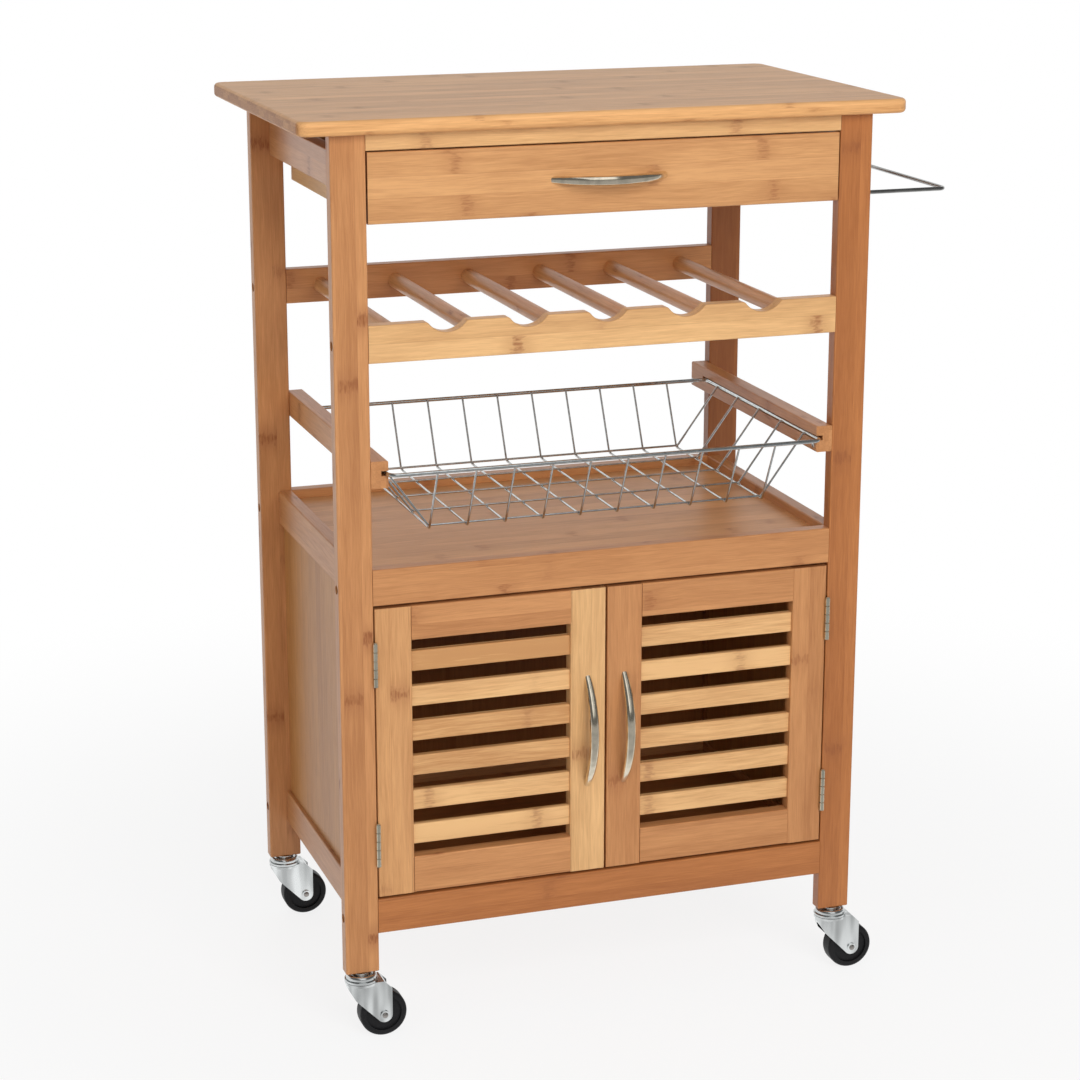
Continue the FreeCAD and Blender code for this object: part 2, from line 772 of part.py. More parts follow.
def joint_dowels():
    """The hidden dowels that join the side rails and the top rails to the legs."""
    dowels = []
    length = S.dowel_in_leg + S.dowel_in_rail
    offset = (S.dowel_in_rail - S.dowel_in_leg) / 2
    for side in (LEFT, RIGHT):
        rail_x = side * side_rail_x
        top_x = side * (opening / 2 - offset)
        for row in (FRONT, REAR):
            rail_y = row * (side_length / 2 - offset)
            top_y = row * leg_y
            for level in side_dowel_levels:
                dowels.append(rod("side_dowel", "Y", S.dowel_diameter, length, rail_x, rail_y, level))
            dowels.append(rod("top_dowel", "X", S.dowel_diameter, length, top_x, top_y, top_dowel_level))
    group("joint_dowels", dowels)


def notched_rail(label):
    """The blank of the rack's front rail: a notch for each bottle neck, and eased edges that follow them."""
    body = new_body(label)
    places = [((NOTCHES - 1) / 2 - index) * S.rack_pitch for index in range(NOTCHES)]
    shape = notched(opening / 2, S.rail_height / 2, places, S.notch_width / 2, S.notch_depth, S.notch_lip)
    blank = pad(body, "XZ", ZERO, S.leg_depth, shape)
    fillet(body, blank, S.edge_ease, is_face_edge)
    return body


def is_face_edge(edge):
    return edge.BoundBox.YLength < 0.01 and edge.BoundBox.XLength > 0.01


def bottle_rack():
    """Two rails joined by dowels, the front one notched for the bottle necks."""
    places = [(index - NOTCHES / 2) * S.rack_pitch for index in range(NOTCHES + 1)]
    front_rail = cross_rail("rack_front_rail", rack_rail, FRONT, notched_rail("rack_front_rail"))
    back_rail = cross_rail("rack_back_rail", rack_rail, REAR)
    for body, row in ((front_rail, FRONT), (back_rail, REAR)):
        seat_y = -row * (S.leg_depth / 2 - S.rack_dowel_seat / 2)
        pocket(body, "XZ", seat_y, S.rack_dowel_seat, *[disc(x, ZERO, S.rack_dowel) for x in places])
    length = side_length + 2 * S.rack_dowel_seat
    level = rack_rail + S.rail_height / 2
    group("rack_dowels", [rod("rack_dowel", "Y", S.rack_dowel, length, x, ZERO, level) for x in places])


slot_length = runner_length - S.slot_end


def basket_runners():
    """Two slotted rails on the legs' inner faces, open in front and closed behind the basket."""
    body = board("basket_runner_right", "Y", S.runner_width, S.runner_height, runner_length)
    inner = -(S.runner_width / 2)
    low = S.slot_lift - S.runner_height / 2
    slot = box(inner - S.slot_depth, inner + S.slot_depth, low, low + S.slot_height)
    pocket(body, "XZ", -(S.slot_end / 2), slot_length, slot)
    runner_y = front + runner_length / 2
    place(body, opening / 2 - S.runner_width / 2, runner_y, runner_level + S.runner_height / 2)
    group("basket_runners", [body, mirrored(body)])


# The wire basket hangs by its rim in the runners' slots
rim_x = opening / 2 - S.runner_width + S.rim_engage
rim_front = front - S.basket_jut + S.rim_wire / 2
rim_length = S.basket_jut + slot_length - S.basket_end_gap - S.rim_wire
rim_middle = rim_front + rim_length / 2
rim_level = runner_level + S.slot_lift + S.rim_wire / 2 + S.basket_slack


def basket_rim():
    """The closed rim wire with its four bends."""
    body = new_body("basket_rim")
    path = new_sketch(body, "XY", ZERO)
    box(-rim_x, rim_x, -rim_length / 2, rim_length / 2, S.rim_bend)(path)
    pipe(body, path, S.rim_wire)
    place(body, ZERO, rim_middle, rim_level)
    return keep(body, "basket_rim")


def basket_wire(body, plane, half_rim, flare, drop):
    """A bent wire that runs from rim to rim across the basket's floor."""
    path = new_sketch(body, plane, ZERO)
    half_floor = half_rim - flare
    slope = (flare * flare + drop * drop).root()
    touch = S.rim_wire / 2 + S.wire_weld
    tip = S.basket_wire / 2
    low = tip * flare / slope
    half_top = half_rim - (touch * touch - low * low).root() - tip * drop / slope
    points = [(-half_top, ZERO), (-half_floor, -drop), (half_floor, -drop), (half_top, ZERO)]
    route(points, S.wire_bend)(path)
    return pipe(body, path, S.basket_wire)


def basket_wires():
    """Wires from front to back, with the wires from side to side lying on them."""
    long_wires = new_body("basket_long_wires")
    wire = basket_wire(long_wires, "YZ", rim_length / 2, S.basket_flare, S.basket_depth)
    half_row = rim_x - S.basket_side_flare - S.long_wire_margin
    repeat(long_wires, wire, "X", half_row * 2 / (LONG_WIRES - 1), LONG_WIRES)
    place(long_wires, -half_row, rim_middle, rim_level)
    keep(long_wires, "basket_long_wires")
    cross_wires = new_body("basket_cross_wires")
    drop = S.basket_depth - S.basket_wire - S.wire_weld
    wire = basket_wire(cross_wires, "XZ", rim_x, S.basket_side_flare, drop)
    half_row = rim_length / 2 - S.basket_flare - S.cross_wire_margin
    repeat(cross_wires, wire, "Y", half_row * 2 / (CROSS_WIRES - 1), CROSS_WIRES)
    place(cross_wires, ZERO, rim_middle - half_row, rim_level)
    keep(cross_wires, "basket_cross_wires")


# Drawer, seen from the middle of its box
drawer_half = opening / 2 - S.drawer_side_gap
drawer_middle = front + S.drawer_front_thickness + drawer_length / 2
drawer_runner_level = apron_level + S.apron_height / 2


def drawer_runners():
    """Two wooden strips on the aprons that carry the drawer in the grooves of its sides."""
    reach = S.drawer_side_gap + S.drawer_groove - S.drawer_slack
    body = board("drawer_runner_right", "Y", reach, S.drawer_runner_height, drawer_runner_length)
    place(body, opening / 2 - reach / 2, ZERO, drawer_runner_level)
    group("drawer_runners", [body, mirrored(body)])


def drawer_side(label, side):
    """A drawer side with its runner groove outside and its bottom groove inside."""
    body = board(label, "Y", S.drawer_wall, S.drawer_side_height, drawer_length)
    middle_z = drawer_level + S.drawer_side_height / 2
    outer = side * S.drawer_wall / 2
    runner_half = S.drawer_runner_height / 2 + S.drawer_slack
    runner_z = drawer_runner_level - middle_z
    low = runner_z - runner_half
    groove = box(outer - S.drawer_groove, outer + S.drawer_groove, low, low + 2 * runner_half)
    runner_front = -(drawer_runner_length / 2) - S.drawer_slack - drawer_middle
    groove_length = drawer_length / 2 - runner_front
    pocket(body, "XZ", runner_front + groove_length / 2, groove_length, groove)
    low = S.drawer_bottom_lift - S.drawer_side_height / 2
    panel = box(-outer - S.groove_depth, -outer + S.groove_depth, low, low + S.drawer_bottom)
    pocket(body, "XZ", ZERO, drawer_length, panel)
    place(body, side * (drawer_half - S.drawer_wall / 2), drawer_middle, middle_z)
    return keep(body, label)


def drawer_box():
    """The drawer's front, back and bottom."""
    width = opening - 2 * S.drawer_gap
    face = board("drawer_front", "X", S.drawer_front_thickness, S.drawer_front_height, width)
    inner = S.drawer_front_thickness / 2
    low = S.drawer_bottom_lift - S.drawer_front_height / 2
    inside = drawer_half - S.drawer_wall
    groove = box(inner - S.groove_depth, inner + S.groove_depth, low, low + S.drawer_bottom)
    pocket(face, "YZ", ZERO, 2 * (inside + S.groove_depth), groove)
    place(face, ZERO, front + inner, drawer_level + S.drawer_front_height / 2)
    keep(face, "drawer_front")
    lift = S.drawer_bottom_lift + S.drawer_bottom
    height = S.drawer_side_height - lift
    back = board("drawer_back", "X", S.drawer_wall, height, 2 * inside)
    back_y = drawer_middle + drawer_length / 2 - S.drawer_wall / 2
    place(back, ZERO, back_y, drawer_level + lift + height / 2)
    keep(back, "drawer_back")
    bottom = new_body("drawer_bottom")
    across = inside + S.groove_depth
    depth = drawer_length + S.groove_depth
    pad(bottom, "XY", S.drawer_bottom / 2, S.drawer_bottom, box(-across, across, -depth / 2, depth / 2))
    place(bottom, ZERO, drawer_middle - S.groove_depth / 2, drawer_level + S.drawer_bottom_lift)
    keep(bottom, "drawer_bottom")


def bow_handle(label, x, z, turn=None):
    """An arched bar that thins towards its feet, cut off flush where they meet the face."""
    body = new_body(label)
    half = S.handle_span / 2
    radius = (half * half + S.handle_rise * S.handle_rise) / (2 * S.handle_rise)
    center = radius - S.handle_rise
    tip = (S.handle_tip_width, S.handle_tip_thickness)
    neck = (S.handle_neck_width, S.handle_neck_thickness)
    crown = (S.handle_width, S.handle_thickness)
    sections = []
    for angle, (width, thickness) in zip((-60, -30, 0, 30, 60), (tip, neck, crown, neck, tip)):
        section = new_sketch(body, "YZ", ZERO)
        swing = Rotation(Vector(0, 1, 0), angle)
        section.AttachmentOffset = FreeCAD.Placement(Vector(center.value, 0, 0), swing)
        section.setExpression("AttachmentOffset.Base.x", center.text)
        thick = thickness / 2
        box(-radius - thick, -radius + thick, -width / 2, width / 2, thick - S.handle_flat)(section)
        sections.append(section)
    bar = body.newObject("PartDesign::AdditiveLoft", label + "_loft")
    bar.Profile = sections[0]
    bar.Sections = sections[1:]
    cut_depth = S.handle_span
    pocket(body, "XZ", cut_depth / 2, cut_depth,
           box(-S.handle_span, S.handle_span, -S.handle_width, S.handle_width))
    place(body, x, front, z, turn)
    return keep(body, label)


# The slats share the door's opening evenly
slat_field = door_height - S.door_top_rail - S.door_bottom_rail
slat_start = S.door_bottom_rail + (slat_field - (SLATS - 1) * S.slat_pitch - S.slat_height) / 2
rail_length = door_width - 2 * S.stile_width
door_middle = S.meeting_gap / 2 + door_width / 2


def stile(label, side, inner_side, x):
    """An upright of a door, mortised for the rails and the slats."""
    body = board(label, "Z", S.stile_width, S.door_thickness, door_height)
    edge = inner_side * S.stile_width / 2
    low = -(door_height / 2)
    tenon = S.tenon_thickness / 2
    mortises = []
    for base, height in ((low, S.door_bottom_rail), (door_height / 2 - S.door_top_rail, S.door_top_rail)):
        mortises.append(box(-tenon, tenon, base + S.tenon_shoulder, base + height - S.tenon_shoulder))
    pocket(body, "YZ", edge - inner_side * S.tenon_length / 2, S.tenon_length, *mortises)
    slat = S.slat_thickness / 2
    first = low + slat_start
    seat = pocket(body, "YZ", edge - inner_side * S.slat_seat / 2, S.slat_seat,
                  box(-slat, slat, first, first + S.slat_height))
    repeat(body, seat, "Z", S.slat_pitch, SLATS)
    if inner_side != side:
        outer = side * (S.stile_width / 2 - S.leaf_thickness / 2)
        face = -(S.door_thickness / 2)
        for level in hinge_levels:
            base = level - door_level + low
            recess = box(face - S.edge_ease, face + S.leaf_width, base, base + S.hinge_length)
            pocket(body, "YZ", outer, S.leaf_thickness, recess)
    place(body, side * x, front + S.door_thickness / 2, door_level + door_height / 2)
    return keep(body, label)


def door_rail(label, side, level, height):
    """A door rail with a tenon at each end."""
    body = board(label, "X", S.door_thickness, height, rail_length)
    tenon = S.tenon_thickness / 2
    reach = height / 2 - S.tenon_shoulder
    pad(body, "YZ", ZERO, rail_length + 2 * S.tenon_length, box(-tenon, tenon, -reach, reach))
    place(body, side * door_middle, front + S.door_thickness / 2, level + height / 2)
    return body


def door(name, side):
    """One slatted door with its handle, hinge leaves and catch plate."""
    stile(name + "_hinge_stile", side, -side, opening / 2 - S.hinge_gap - S.stile_width / 2)
    stile(name + "_meeting_stile", side, side, S.meeting_gap / 2 + S.stile_width / 2)
    top_level = door_level + door_height - S.door_top_rail
    group(name + "_rails", [
        door_rail(name + "_bottom_rail", side, door_level, S.door_bottom_rail),
        door_rail(name + "_top_rail", side, top_level, S.door_top_rail),
    ])
    slats = board(name + "_slats", "X", S.slat_thickness, S.slat_height, rail_length + 2 * S.slat_seat)
    repeat(slats, slats.Tip, "Z", S.slat_pitch, SLATS)
    first = door_level + slat_start + S.slat_height / 2
    place(slats, side * door_middle, front + S.door_thickness / 2, first)
    keep(slats, name + "_slats")
    handle_x = side * (S.meeting_gap / 2 + S.stile_width / 2)
    bow_handle(name + "_handle", handle_x, door_level + door_height / 2, Rotation(Vector(0, 1, 0), 90))
    group(name + "_hinge_leaves", [hinge_leaf(name + "_leaf", side, -side, level) for level in hinge_levels])
    strike = new_body(name + "_strike")
    half = S.strike_width / 2
    pad(strike, "XY", ZERO, S.strike_height, box(-half, half, ZERO, S.strike_thickness))
    strike_z = tray_rail - S.catch_drop + S.strike_height / 2
    place(strike, handle_x, front + S.door_thickness, strike_z)
    keep(strike, name + "_strike")


def hinge_leaf(label, side, toward, level):
    """A butt hinge's leaf: a plate in its recess and every other knuckle round the pin."""
    body = new_body(label)
    near = toward * S.hinge_gap / 2
    far = near + toward * S.leaf_thickness
    left, right = (near, far) if near.value < far.value else (far, near)
    pad(body, "XY", S.hinge_length / 2, S.hinge_length, box(left, right, hinge_out, hinge_out + S.leaf_width))
    pitch = S.hinge_length / KNUCKLES
    length = pitch - S.knuckle_gap
    first = 0 if toward == side else 1
    for index in range(first, KNUCKLES, 2):
        middle = (index + 0.5) * pitch
        pad(body, "XY", middle, length, disc(ZERO, ZERO, S.knuckle_diameter))
        pad(body, "XY", middle, length, box(left, right, ZERO, hinge_out))
    bore = S.hinge_pin + 2 * S.pin_slack
    pocket(body, "XY", S.hinge_length / 2, S.hinge_length, disc(ZERO, ZERO, bore))
    place(body, side * hinge_x, hinge_y, level)
    return body


def frame_hinges():
    """The four leaves that stay on the legs, each with its pin."""
    members = []
    for side in (LEFT, RIGHT):
        for level in hinge_levels:
            members.append(hinge_leaf("frame_leaf", side, side, level))
            bottom = level + S.knuckle_gap / 2
            length = S.hinge_length - S.knuckle_gap
            x = side * hinge_x
            shaft = rod("pin_shaft", "Z", S.hinge_pin, length, x, hinge_y, bottom + length / 2)
            head_z = bottom + length + S.pin_head_height / 2
            head = rod("pin_head", "Z", S.pin_head, S.pin_head_height, x, hinge_y, head_z)
            pin = doc.addObject("Part::Fuse", "hinge_pin")
            pin.Base = shaft
            pin.Tool = head
            members.append(pin)
    group("frame_hinges", members)


def door_catch():
    """A double magnetic catch on the back of the tray's front rail, reaching down behind both doors."""
    body = new_body("door_catch")
    half = S.catch_width / 2
    block = S.catch_height - S.catch_drop
    setback = S.strike_thickness + S.strike_gap
    pad(body, "XY", block / 2, block, box(-half, half, ZERO, S.catch_depth))
    pad(body, "XY", block / 2 - S.catch_drop / 2, S.catch_height, box(-half, half, setback, S.catch_depth))
    place(body, ZERO, front + S.door_thickness, tray_rail)
    return keep(body, "door_catch")


def towel_rail():
    """A bent rod whose two ends sit in the right legs."""
    body = new_body("towel_rail")
    path = new_sketch(body, "XY", ZERO)
    inside = -S.towel_seat
    points = [(inside, -leg_y), (S.towel_reach, -leg_y), (S.towel_reach, leg_y), (inside, leg_y)]
    route(points, S.towel_bend)(path)
    pipe(body, path, S.towel_rod)
    place(body, S.frame_width / 2, ZERO, towel_level)
    return keep(body, "towel_rail")


def caster_stem(label, side, row):
    """A stem with its collar, upper race and riveted kingpin, turned in one piece."""
    body = new_body(label)
    pin = S.stem_diameter / 2
    head = S.kingpin_head / 2
    race = S.race_diameter / 2
    collar = S.stem_collar / 2
    head_top = S.fork_top - S.fork_plate - S.race_gap
    race_low = S.fork_top + S.race_gap
    race_top = race_low + S.race_height
    lip_top = race_low + S.race_lip
    upper = race - S.race_step
    revolve(body, outline(
        (ZERO, head_top - S.kingpin_head_height),
        (head, head_top - S.kingpin_head_height),
        (head, head_top),
        (pin, head_top),
        (pin, race_low),
        (race - S.race_gap, race_low),
        (race, race_low + S.race_gap),
        (race, lip_top - S.race_gap),
        (race - S.race_gap, lip_top),
        (upper - S.race_groove, lip_top),
        (upper - S.race_groove, lip_top + S.race_groove),
        (upper, lip_top + S.race_groove),
        (upper, race_top - S.race_groove),
        (upper - S.race_taper, race_top),
        (collar, race_top),
        (collar, foot),
        (pin, foot),
        (pin, foot + S.stem_seat),
        (ZERO, foot + S.stem_seat),
    ))
    place(body, side * leg_x, row * leg_y, ZERO)
    return body


def boolean(kind, label, base, tool):
    """Two pieces cut from each other or kept where they meet."""
    result = doc.addObject("Part::" + kind, label)
    result.Base = base
    result.Tool = tool
    return result


def round_nose(label, half, center, height, x, y):
    """A block with a round nose in front, from the floor up."""
    body = new_body(label)
    pad(body, "XY", height / 2, height, disc(center, ZERO, 2 * half))
    pad(body, "XY", height / 2, height, box(center, 2 * S.wheel_diameter, -half, half))
    place(body, x, y, ZERO)
    return body


def caster_fork(label, side, row):
    """A pressed fork with a round front and tapered, round-ended ears, and the rivet that is its axle."""
    x = side * leg_x
    y = row * leg_y
    inner = S.wheel_width / 2 + S.fork_gap
    outer = inner + S.fork_sheet
    axle_x = x + S.wheel_trail
    axle_z = S.wheel_diameter / 2
    back = S.wheel_trail + S.fork_ear
    race = S.race_diameter / 2 - S.race_gap
    heel_x = -S.fork_heel
    heel_z = axle_z + S.fork_heel_lift
    reach_x = heel_x - S.wheel_trail
    reach_z = S.fork_heel_lift
    square = reach_x * reach_x + reach_z * reach_z
    along = S.fork_ear * S.fork_ear / square
    across = S.fork_ear * (square - S.fork_ear * S.fork_ear).root() / square
    tangent_x = S.wheel_trail + along * reach_x - across * reach_z
    tangent_z = axle_z + along * reach_z + across * reach_x
    ear = outline(
        (-race, S.fork_top),
        (-race, S.fork_top - S.fork_brow),
        (heel_x, heel_z),
        (tangent_x, tangent_z),
        (S.wheel_trail, axle_z),
        (back, axle_z),
        (back, S.fork_top - S.fork_shoulder),
        (back - S.fork_shoulder, S.fork_top),
    )
    blank = new_body(label + "_blank")
    pad(blank, "XZ", ZERO, 2 * outer, ear)
    pad(blank, "XZ", ZERO, 2 * outer, disc(S.wheel_trail, axle_z, 2 * S.fork_ear))
    place(blank, x, y, ZERO)
    nose = outer - race + S.fork_inset
    under = S.fork_top - S.fork_plate
    outside = round_nose(label + "_outside", outer, nose, S.fork_top, x, y)
    inside = round_nose(label + "_inside", inner, nose, under, x, y)
    pressed = boolean("Common", label + "_pressed", blank, outside)
    shell = boolean("Cut", label + "_shell", pressed, inside)
    plate = rod("fork_plate", "Z", 2 * race, S.fork_plate, x, y, S.fork_top - S.fork_plate / 2)
    crowned = boolean("Fuse", label + "_crowned", shell, plate)
    bore = rod("stem_bore", "Z", S.stem_diameter + 2 * S.stem_slack, 4 * S.fork_plate, x, y, S.fork_top)
    drilled = boolean("Cut", label + "_drilled", crowned, bore)
    axle_bore = rod("axle_bore", "Y", S.axle_diameter, 4 * outer, axle_x, y, axle_z)
    sheet = boolean("Cut", label + "_sheet", drilled, axle_bore)
    shaft = rod("axle_shaft", "Y", S.axle_diameter, 2 * outer, axle_x, y, axle_z)
    head_y = outer + S.axle_head_height / 2
    near = rod("axle_head", "Y", S.axle_head, S.axle_head_height, axle_x, y - head_y, axle_z)
    far = rod("axle_head", "Y", S.axle_head, S.axle_head_height, axle_x, y + head_y, axle_z)
    rivet = doc.addObject("Part::MultiFuse", "axle_rivet")
    rivet.Shapes = [shaft, near, far]
    return group(label, [sheet, rivet])


def caster_wheel(label, side, row):
    """A wheel with a bored hub, a thinner web and a rounded tyre."""
    body = new_body(label)
    bore = S.axle_diameter / 2 + S.axle_slack
    hub = S.wheel_width / 2 + S.fork_gap - S.hub_gap
    web = S.web_width / 2
    tyre = S.wheel_width / 2
    rim = S.wheel_diameter / 2
    seat = rim - S.tyre_depth
    turned = revolve(body, outline(
        (bore, -hub),
        (S.hub_radius, -hub),
        (S.hub_radius, -web),
        (seat, -web),
        (seat, -tyre),
        (rim, -tyre),
        (rim, tyre),
        (seat, tyre),
        (seat, web),
        (S.hub_radius, web),
        (S.hub_radius, hub),
        (bore, hub),
    ))
    fillet(body, turned, S.wheel_round, lambda edge: is_circle(edge, rim.value))
    place(body, side * leg_x + S.wheel_trail, row * leg_y, rim, Rotation(Vector(1, 0, 0), 90))
    return keep(body, label)


def is_circle(edge, radius):
    return edge.Curve.TypeId == "Part::GeomCircle" and abs(edge.Curve.Radius - radius) < 0.001


# The whole cabinet
corners = {
    "front_left": (LEFT, FRONT),
    "front_right": (RIGHT, FRONT),
    "rear_left": (LEFT, REAR),
    "rear_right": (RIGHT, REAR),
}
for corner, (side, row) in corners.items():
    leg("leg_" + corner, side, row)
worktop()
top_rail("top_front_rail", FRONT)
top_rail("top_back_rail", REAR)
side_rails("side_aprons", apron_level, S.apron_height)
bottle_rack()
basket_runners()
shelf_cross_rail("tray_front_rail", tray_rail, FRONT, -1)
shelf_cross_rail("tray_back_rail", tray_rail, REAR, -1)
side_rails("tray_side_rails", tray_rail, S.rail_height, -1)
shelf_panel("tray_panel", tray_rail)
shelf_cross_rail("bottom_front_rail", bottom_rail, FRONT, 1)
shelf_cross_rail("bottom_back_rail", bottom_rail, REAR, 1)
side_rails("bottom_side_rails", bottom_rail, S.rail_height, 1)
shelf_panel("bottom_panel", bottom_rail)
wall_panels()
frame_bolts()
joint_dowels()
frame_hinges()
door_catch()
towel_rail()
group("caster_stems", [caster_stem("caster_stem", *spot) for spot in corners.values()])
drawer_runners()
drawer_side("drawer_side_left", LEFT)
drawer_side("drawer_side_right", RIGHT)
drawer_box()
bow_handle("drawer_handle", ZERO, drawer_level + S.drawer_front_height / 2)
basket_rim()
basket_wires()
door("door_left", LEFT)
door("door_right", RIGHT)
for corner, (side, row) in corners.items():
    caster_fork("caster_fork_" + corner, side, row)
    caster_wheel("caster_wheel_" + corner, side, row)
doc.recompute()

# Nothing is written unless every object came out sound
for thing in doc.Objects:
    if "Invalid" in thing.State or "Error" in thing.State:
        raise RuntimeError("%s did not recompute: %s" % (thing.Label, thing.State))
for piece in pieces:
    if piece.Shape.isNull() or not piece.Shape.isValid():
        raise RuntimeError("%s has no sound shape" % piece.Label)

os.makedirs("parts", exist_ok=True)
for piece in pieces:
    piece.Shape.exportStep("parts/%s.step" % piece.Label)
print("%d sub-parts written" % len(pieces))
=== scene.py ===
import math
from dataclasses import dataclass

import bpy
from bpy.props import FloatProperty, FloatVectorProperty, PointerProperty
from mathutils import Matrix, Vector


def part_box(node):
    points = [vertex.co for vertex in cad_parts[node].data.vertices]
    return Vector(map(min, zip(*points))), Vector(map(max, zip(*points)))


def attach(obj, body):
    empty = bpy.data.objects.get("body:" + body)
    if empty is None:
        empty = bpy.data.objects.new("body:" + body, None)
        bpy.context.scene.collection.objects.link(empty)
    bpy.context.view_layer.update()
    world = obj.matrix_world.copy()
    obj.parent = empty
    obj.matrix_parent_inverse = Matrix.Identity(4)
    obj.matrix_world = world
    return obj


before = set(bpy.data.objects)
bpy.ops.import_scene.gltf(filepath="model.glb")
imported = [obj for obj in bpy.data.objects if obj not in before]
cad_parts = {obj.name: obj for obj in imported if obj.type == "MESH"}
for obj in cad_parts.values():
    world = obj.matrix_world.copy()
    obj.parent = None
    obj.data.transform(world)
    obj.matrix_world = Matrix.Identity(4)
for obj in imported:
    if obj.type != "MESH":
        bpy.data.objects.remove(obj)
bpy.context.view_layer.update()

bl_info = {
    "name": "Rolling kitchen cabinet",
    "version": (1, 0, 0),
    "blender": (4, 5, 0),
    "location": "3D View > Sidebar > Kitchen cabinet",
    "description": "Finishes, fixings and stage of a bamboo kitchen trolley on casters",
    "category": "Object",
}

AXES = "XYZ"
UP = (0.0, 0.0, 1.0)
BACK = (0.0, 1.0, 0.0)
SIDES = (-1.0, 1.0)
WHITE = (1.0, 1.0, 1.0, 1.0)

DOORS = ("door_left", "door_right")
SLATS = ("door_left_slats", "door_right_slats")
CORNERS = ("front_left", "front_right", "rear_left", "rear_right")
LONG_WIRES = 10
CROSS_WIRES = 5
SCREWS_PER_LEAF = 3

# Grain of every bamboo board: the axis that its strips follow, the axis across them, and its tone.
BOARDS = {
    "worktop": ("X", "Y", "straw"),
    "top_front_rail": ("X", "Z", "pale"),
    "top_back_rail": ("X", "Z", "amber"),
    "side_aprons": ("Y", "Z", "amber"),
    "leg_front_left": ("Z", "X", "amber"),
    "leg_front_right": ("Z", "X", "russet"),
    "leg_rear_left": ("Z", "X", "amber"),
    # Painted shade: the rear right leg takes the darkest umber tone, which stands in for the shade that the
    # front of the cabinet casts on it.
    "leg_rear_right": ("Z", "X", "shaded_umber"),
    "rack_front_rail": ("X", "Z", "pale"),
    "rack_back_rail": ("X", "Z", "amber"),
    "rack_dowels": ("Y", "X", "honey"),
    "basket_runners": ("Y", "Z", "amber"),
    "tray_front_rail": ("X", "Z", "amber"),
    "tray_back_rail": ("X", "Z", "amber"),
    "tray_side_rails": ("Y", "Z", "amber"),
    "tray_panel": ("X", "Y", "honey"),
    "bottom_front_rail": ("X", "Z", "russet"),
    "bottom_back_rail": ("X", "Z", "amber"),
    "bottom_side_rails": ("Y", "Z", "amber"),
    "bottom_panel": ("X", "Y", "russet"),
    "side_panels": ("Z", "Y", "veneer"),
    # Painted shade: the back panel's umber tone is taken from the shaded gaps between the door slats.
    "back_panel": ("Z", "X", "shaded_umber"),
    "joint_dowels": ("X", "Z", "pale"),
    "drawer_runners": ("Y", "Z", "honey"),
    "drawer_front": ("X", "Z", "honey"),
    "drawer_side_left": ("Y", "Z", "pale"),
    "drawer_side_right": ("Y", "Z", "pale"),
    "drawer_back": ("X", "Z", "pale"),
    "drawer_bottom": ("X", "Y", "pale"),
    "door_left_hinge_stile": ("Z", "X", "honey"),
    "door_left_meeting_stile": ("Z", "X", "pale"),
    "door_left_rails": ("X", "Z", "amber"),
    "door_left_slats": ("X", "Z", "pale"),
    "door_right_hinge_stile": ("Z", "X", "amber"),
    "door_right_meeting_stile": ("Z", "X", "amber"),
    "door_right_rails": ("X", "Z", "amber"),
    "door_right_slats": ("X", "Z", "pale"),
}


@dataclass(frozen=True)
class BoardFinish:
    """The varnish of a board and how much its strips differ."""

    # Strength of the brown marks at the joints of the cane
    joints: float = 0.75
    # Shine of the varnish, and weight of the clear coat over it
    gloss: float = 0.45
    coat: float = 0.04
    # How far the cut ends darken
    ends: float = 1.0
    # How much the strips differ in tone
    variety: float = 0.45
    # How far the strips of one layer lie to the side of the last, in strip widths
    stagger: float = 0.43
    # Red, green and blue of the darkest strips, as shares of the mean colour
    deep: tuple = (0.86, 0.78, 0.72)


# Boards that are finished in another way than the rest.
PANEL_FINISH = BoardFinish(joints=0.12, gloss=0.3, coat=0.05)
SLAT_FINISH = BoardFinish(joints=0.5, variety=1.5, stagger=0.0, deep=(0.82, 0.68, 0.58))
FINISHES = {
    "worktop": BoardFinish(joints=0.4, gloss=0.15, coat=0.0),
    "tray_panel": BoardFinish(joints=0.4, gloss=0.3, coat=0.0),
    "drawer_front": BoardFinish(joints=0.5),
    "basket_runners": BoardFinish(ends=0.1),
    "side_aprons": BoardFinish(coat=0.3),
    "side_panels": PANEL_FINISH,
    "back_panel": PANEL_FINISH,
    **{name: SLAT_FINISH for name in SLATS},
    **{"leg_" + corner: BoardFinish(joints=1.0) for corner in CORNERS},
}

# Every board has a seed of its own, and the slats have whole ones, which keep the strips in step with them.
FIRST_SEED = 0.37
SEED_STEP = 1.618
SLAT_SEED = 9

# Streaks in the bamboo: changes per metre along and across a strip, and how many finer ones lie in them.
FINE = (42.0, 1000.0, 3.0)
BROAD = (15.0, 280.0, 2.0)
CLOUDY = (6.0, 36.0, 2.0)
WARM = (3.0, 24.0, 1.0)
RAGGED = (110.0, 300.0, 3.0)
FLECKED = (70.0, 620.0, 2.0)

# How far apart the streaks of two strips start, and the bends in the fibres: changes per metre along and
# across a strip, and how wide they sway in metres.
FRESH_START = 37.0
BENDS = (9.0, 14.0)
BEND_SWAY = 0.008

# Brown mark at a joint of the cane and the halo round it, in metres: how much the mark strays, how far from
# the middle each ends and is full, and how brown the halo is.
MARK_STRAY = 0.022
MARK_REACH = (0.0075, 0.0008)
HALO_REACH = (0.024, 0.002)
HALO_TONE = 0.34

# Glue line: where it starts and is full, in strip widths from a strip's middle, and how brown it is.
GLUE_REACH = (0.470, 0.497)
GLUE_TONE = 0.16

# Fibre bundles at a cut end: changes per metre along the board and across it.
END_DOTS = (60.0, 1300.0)


# Sizes and colours that a user would change

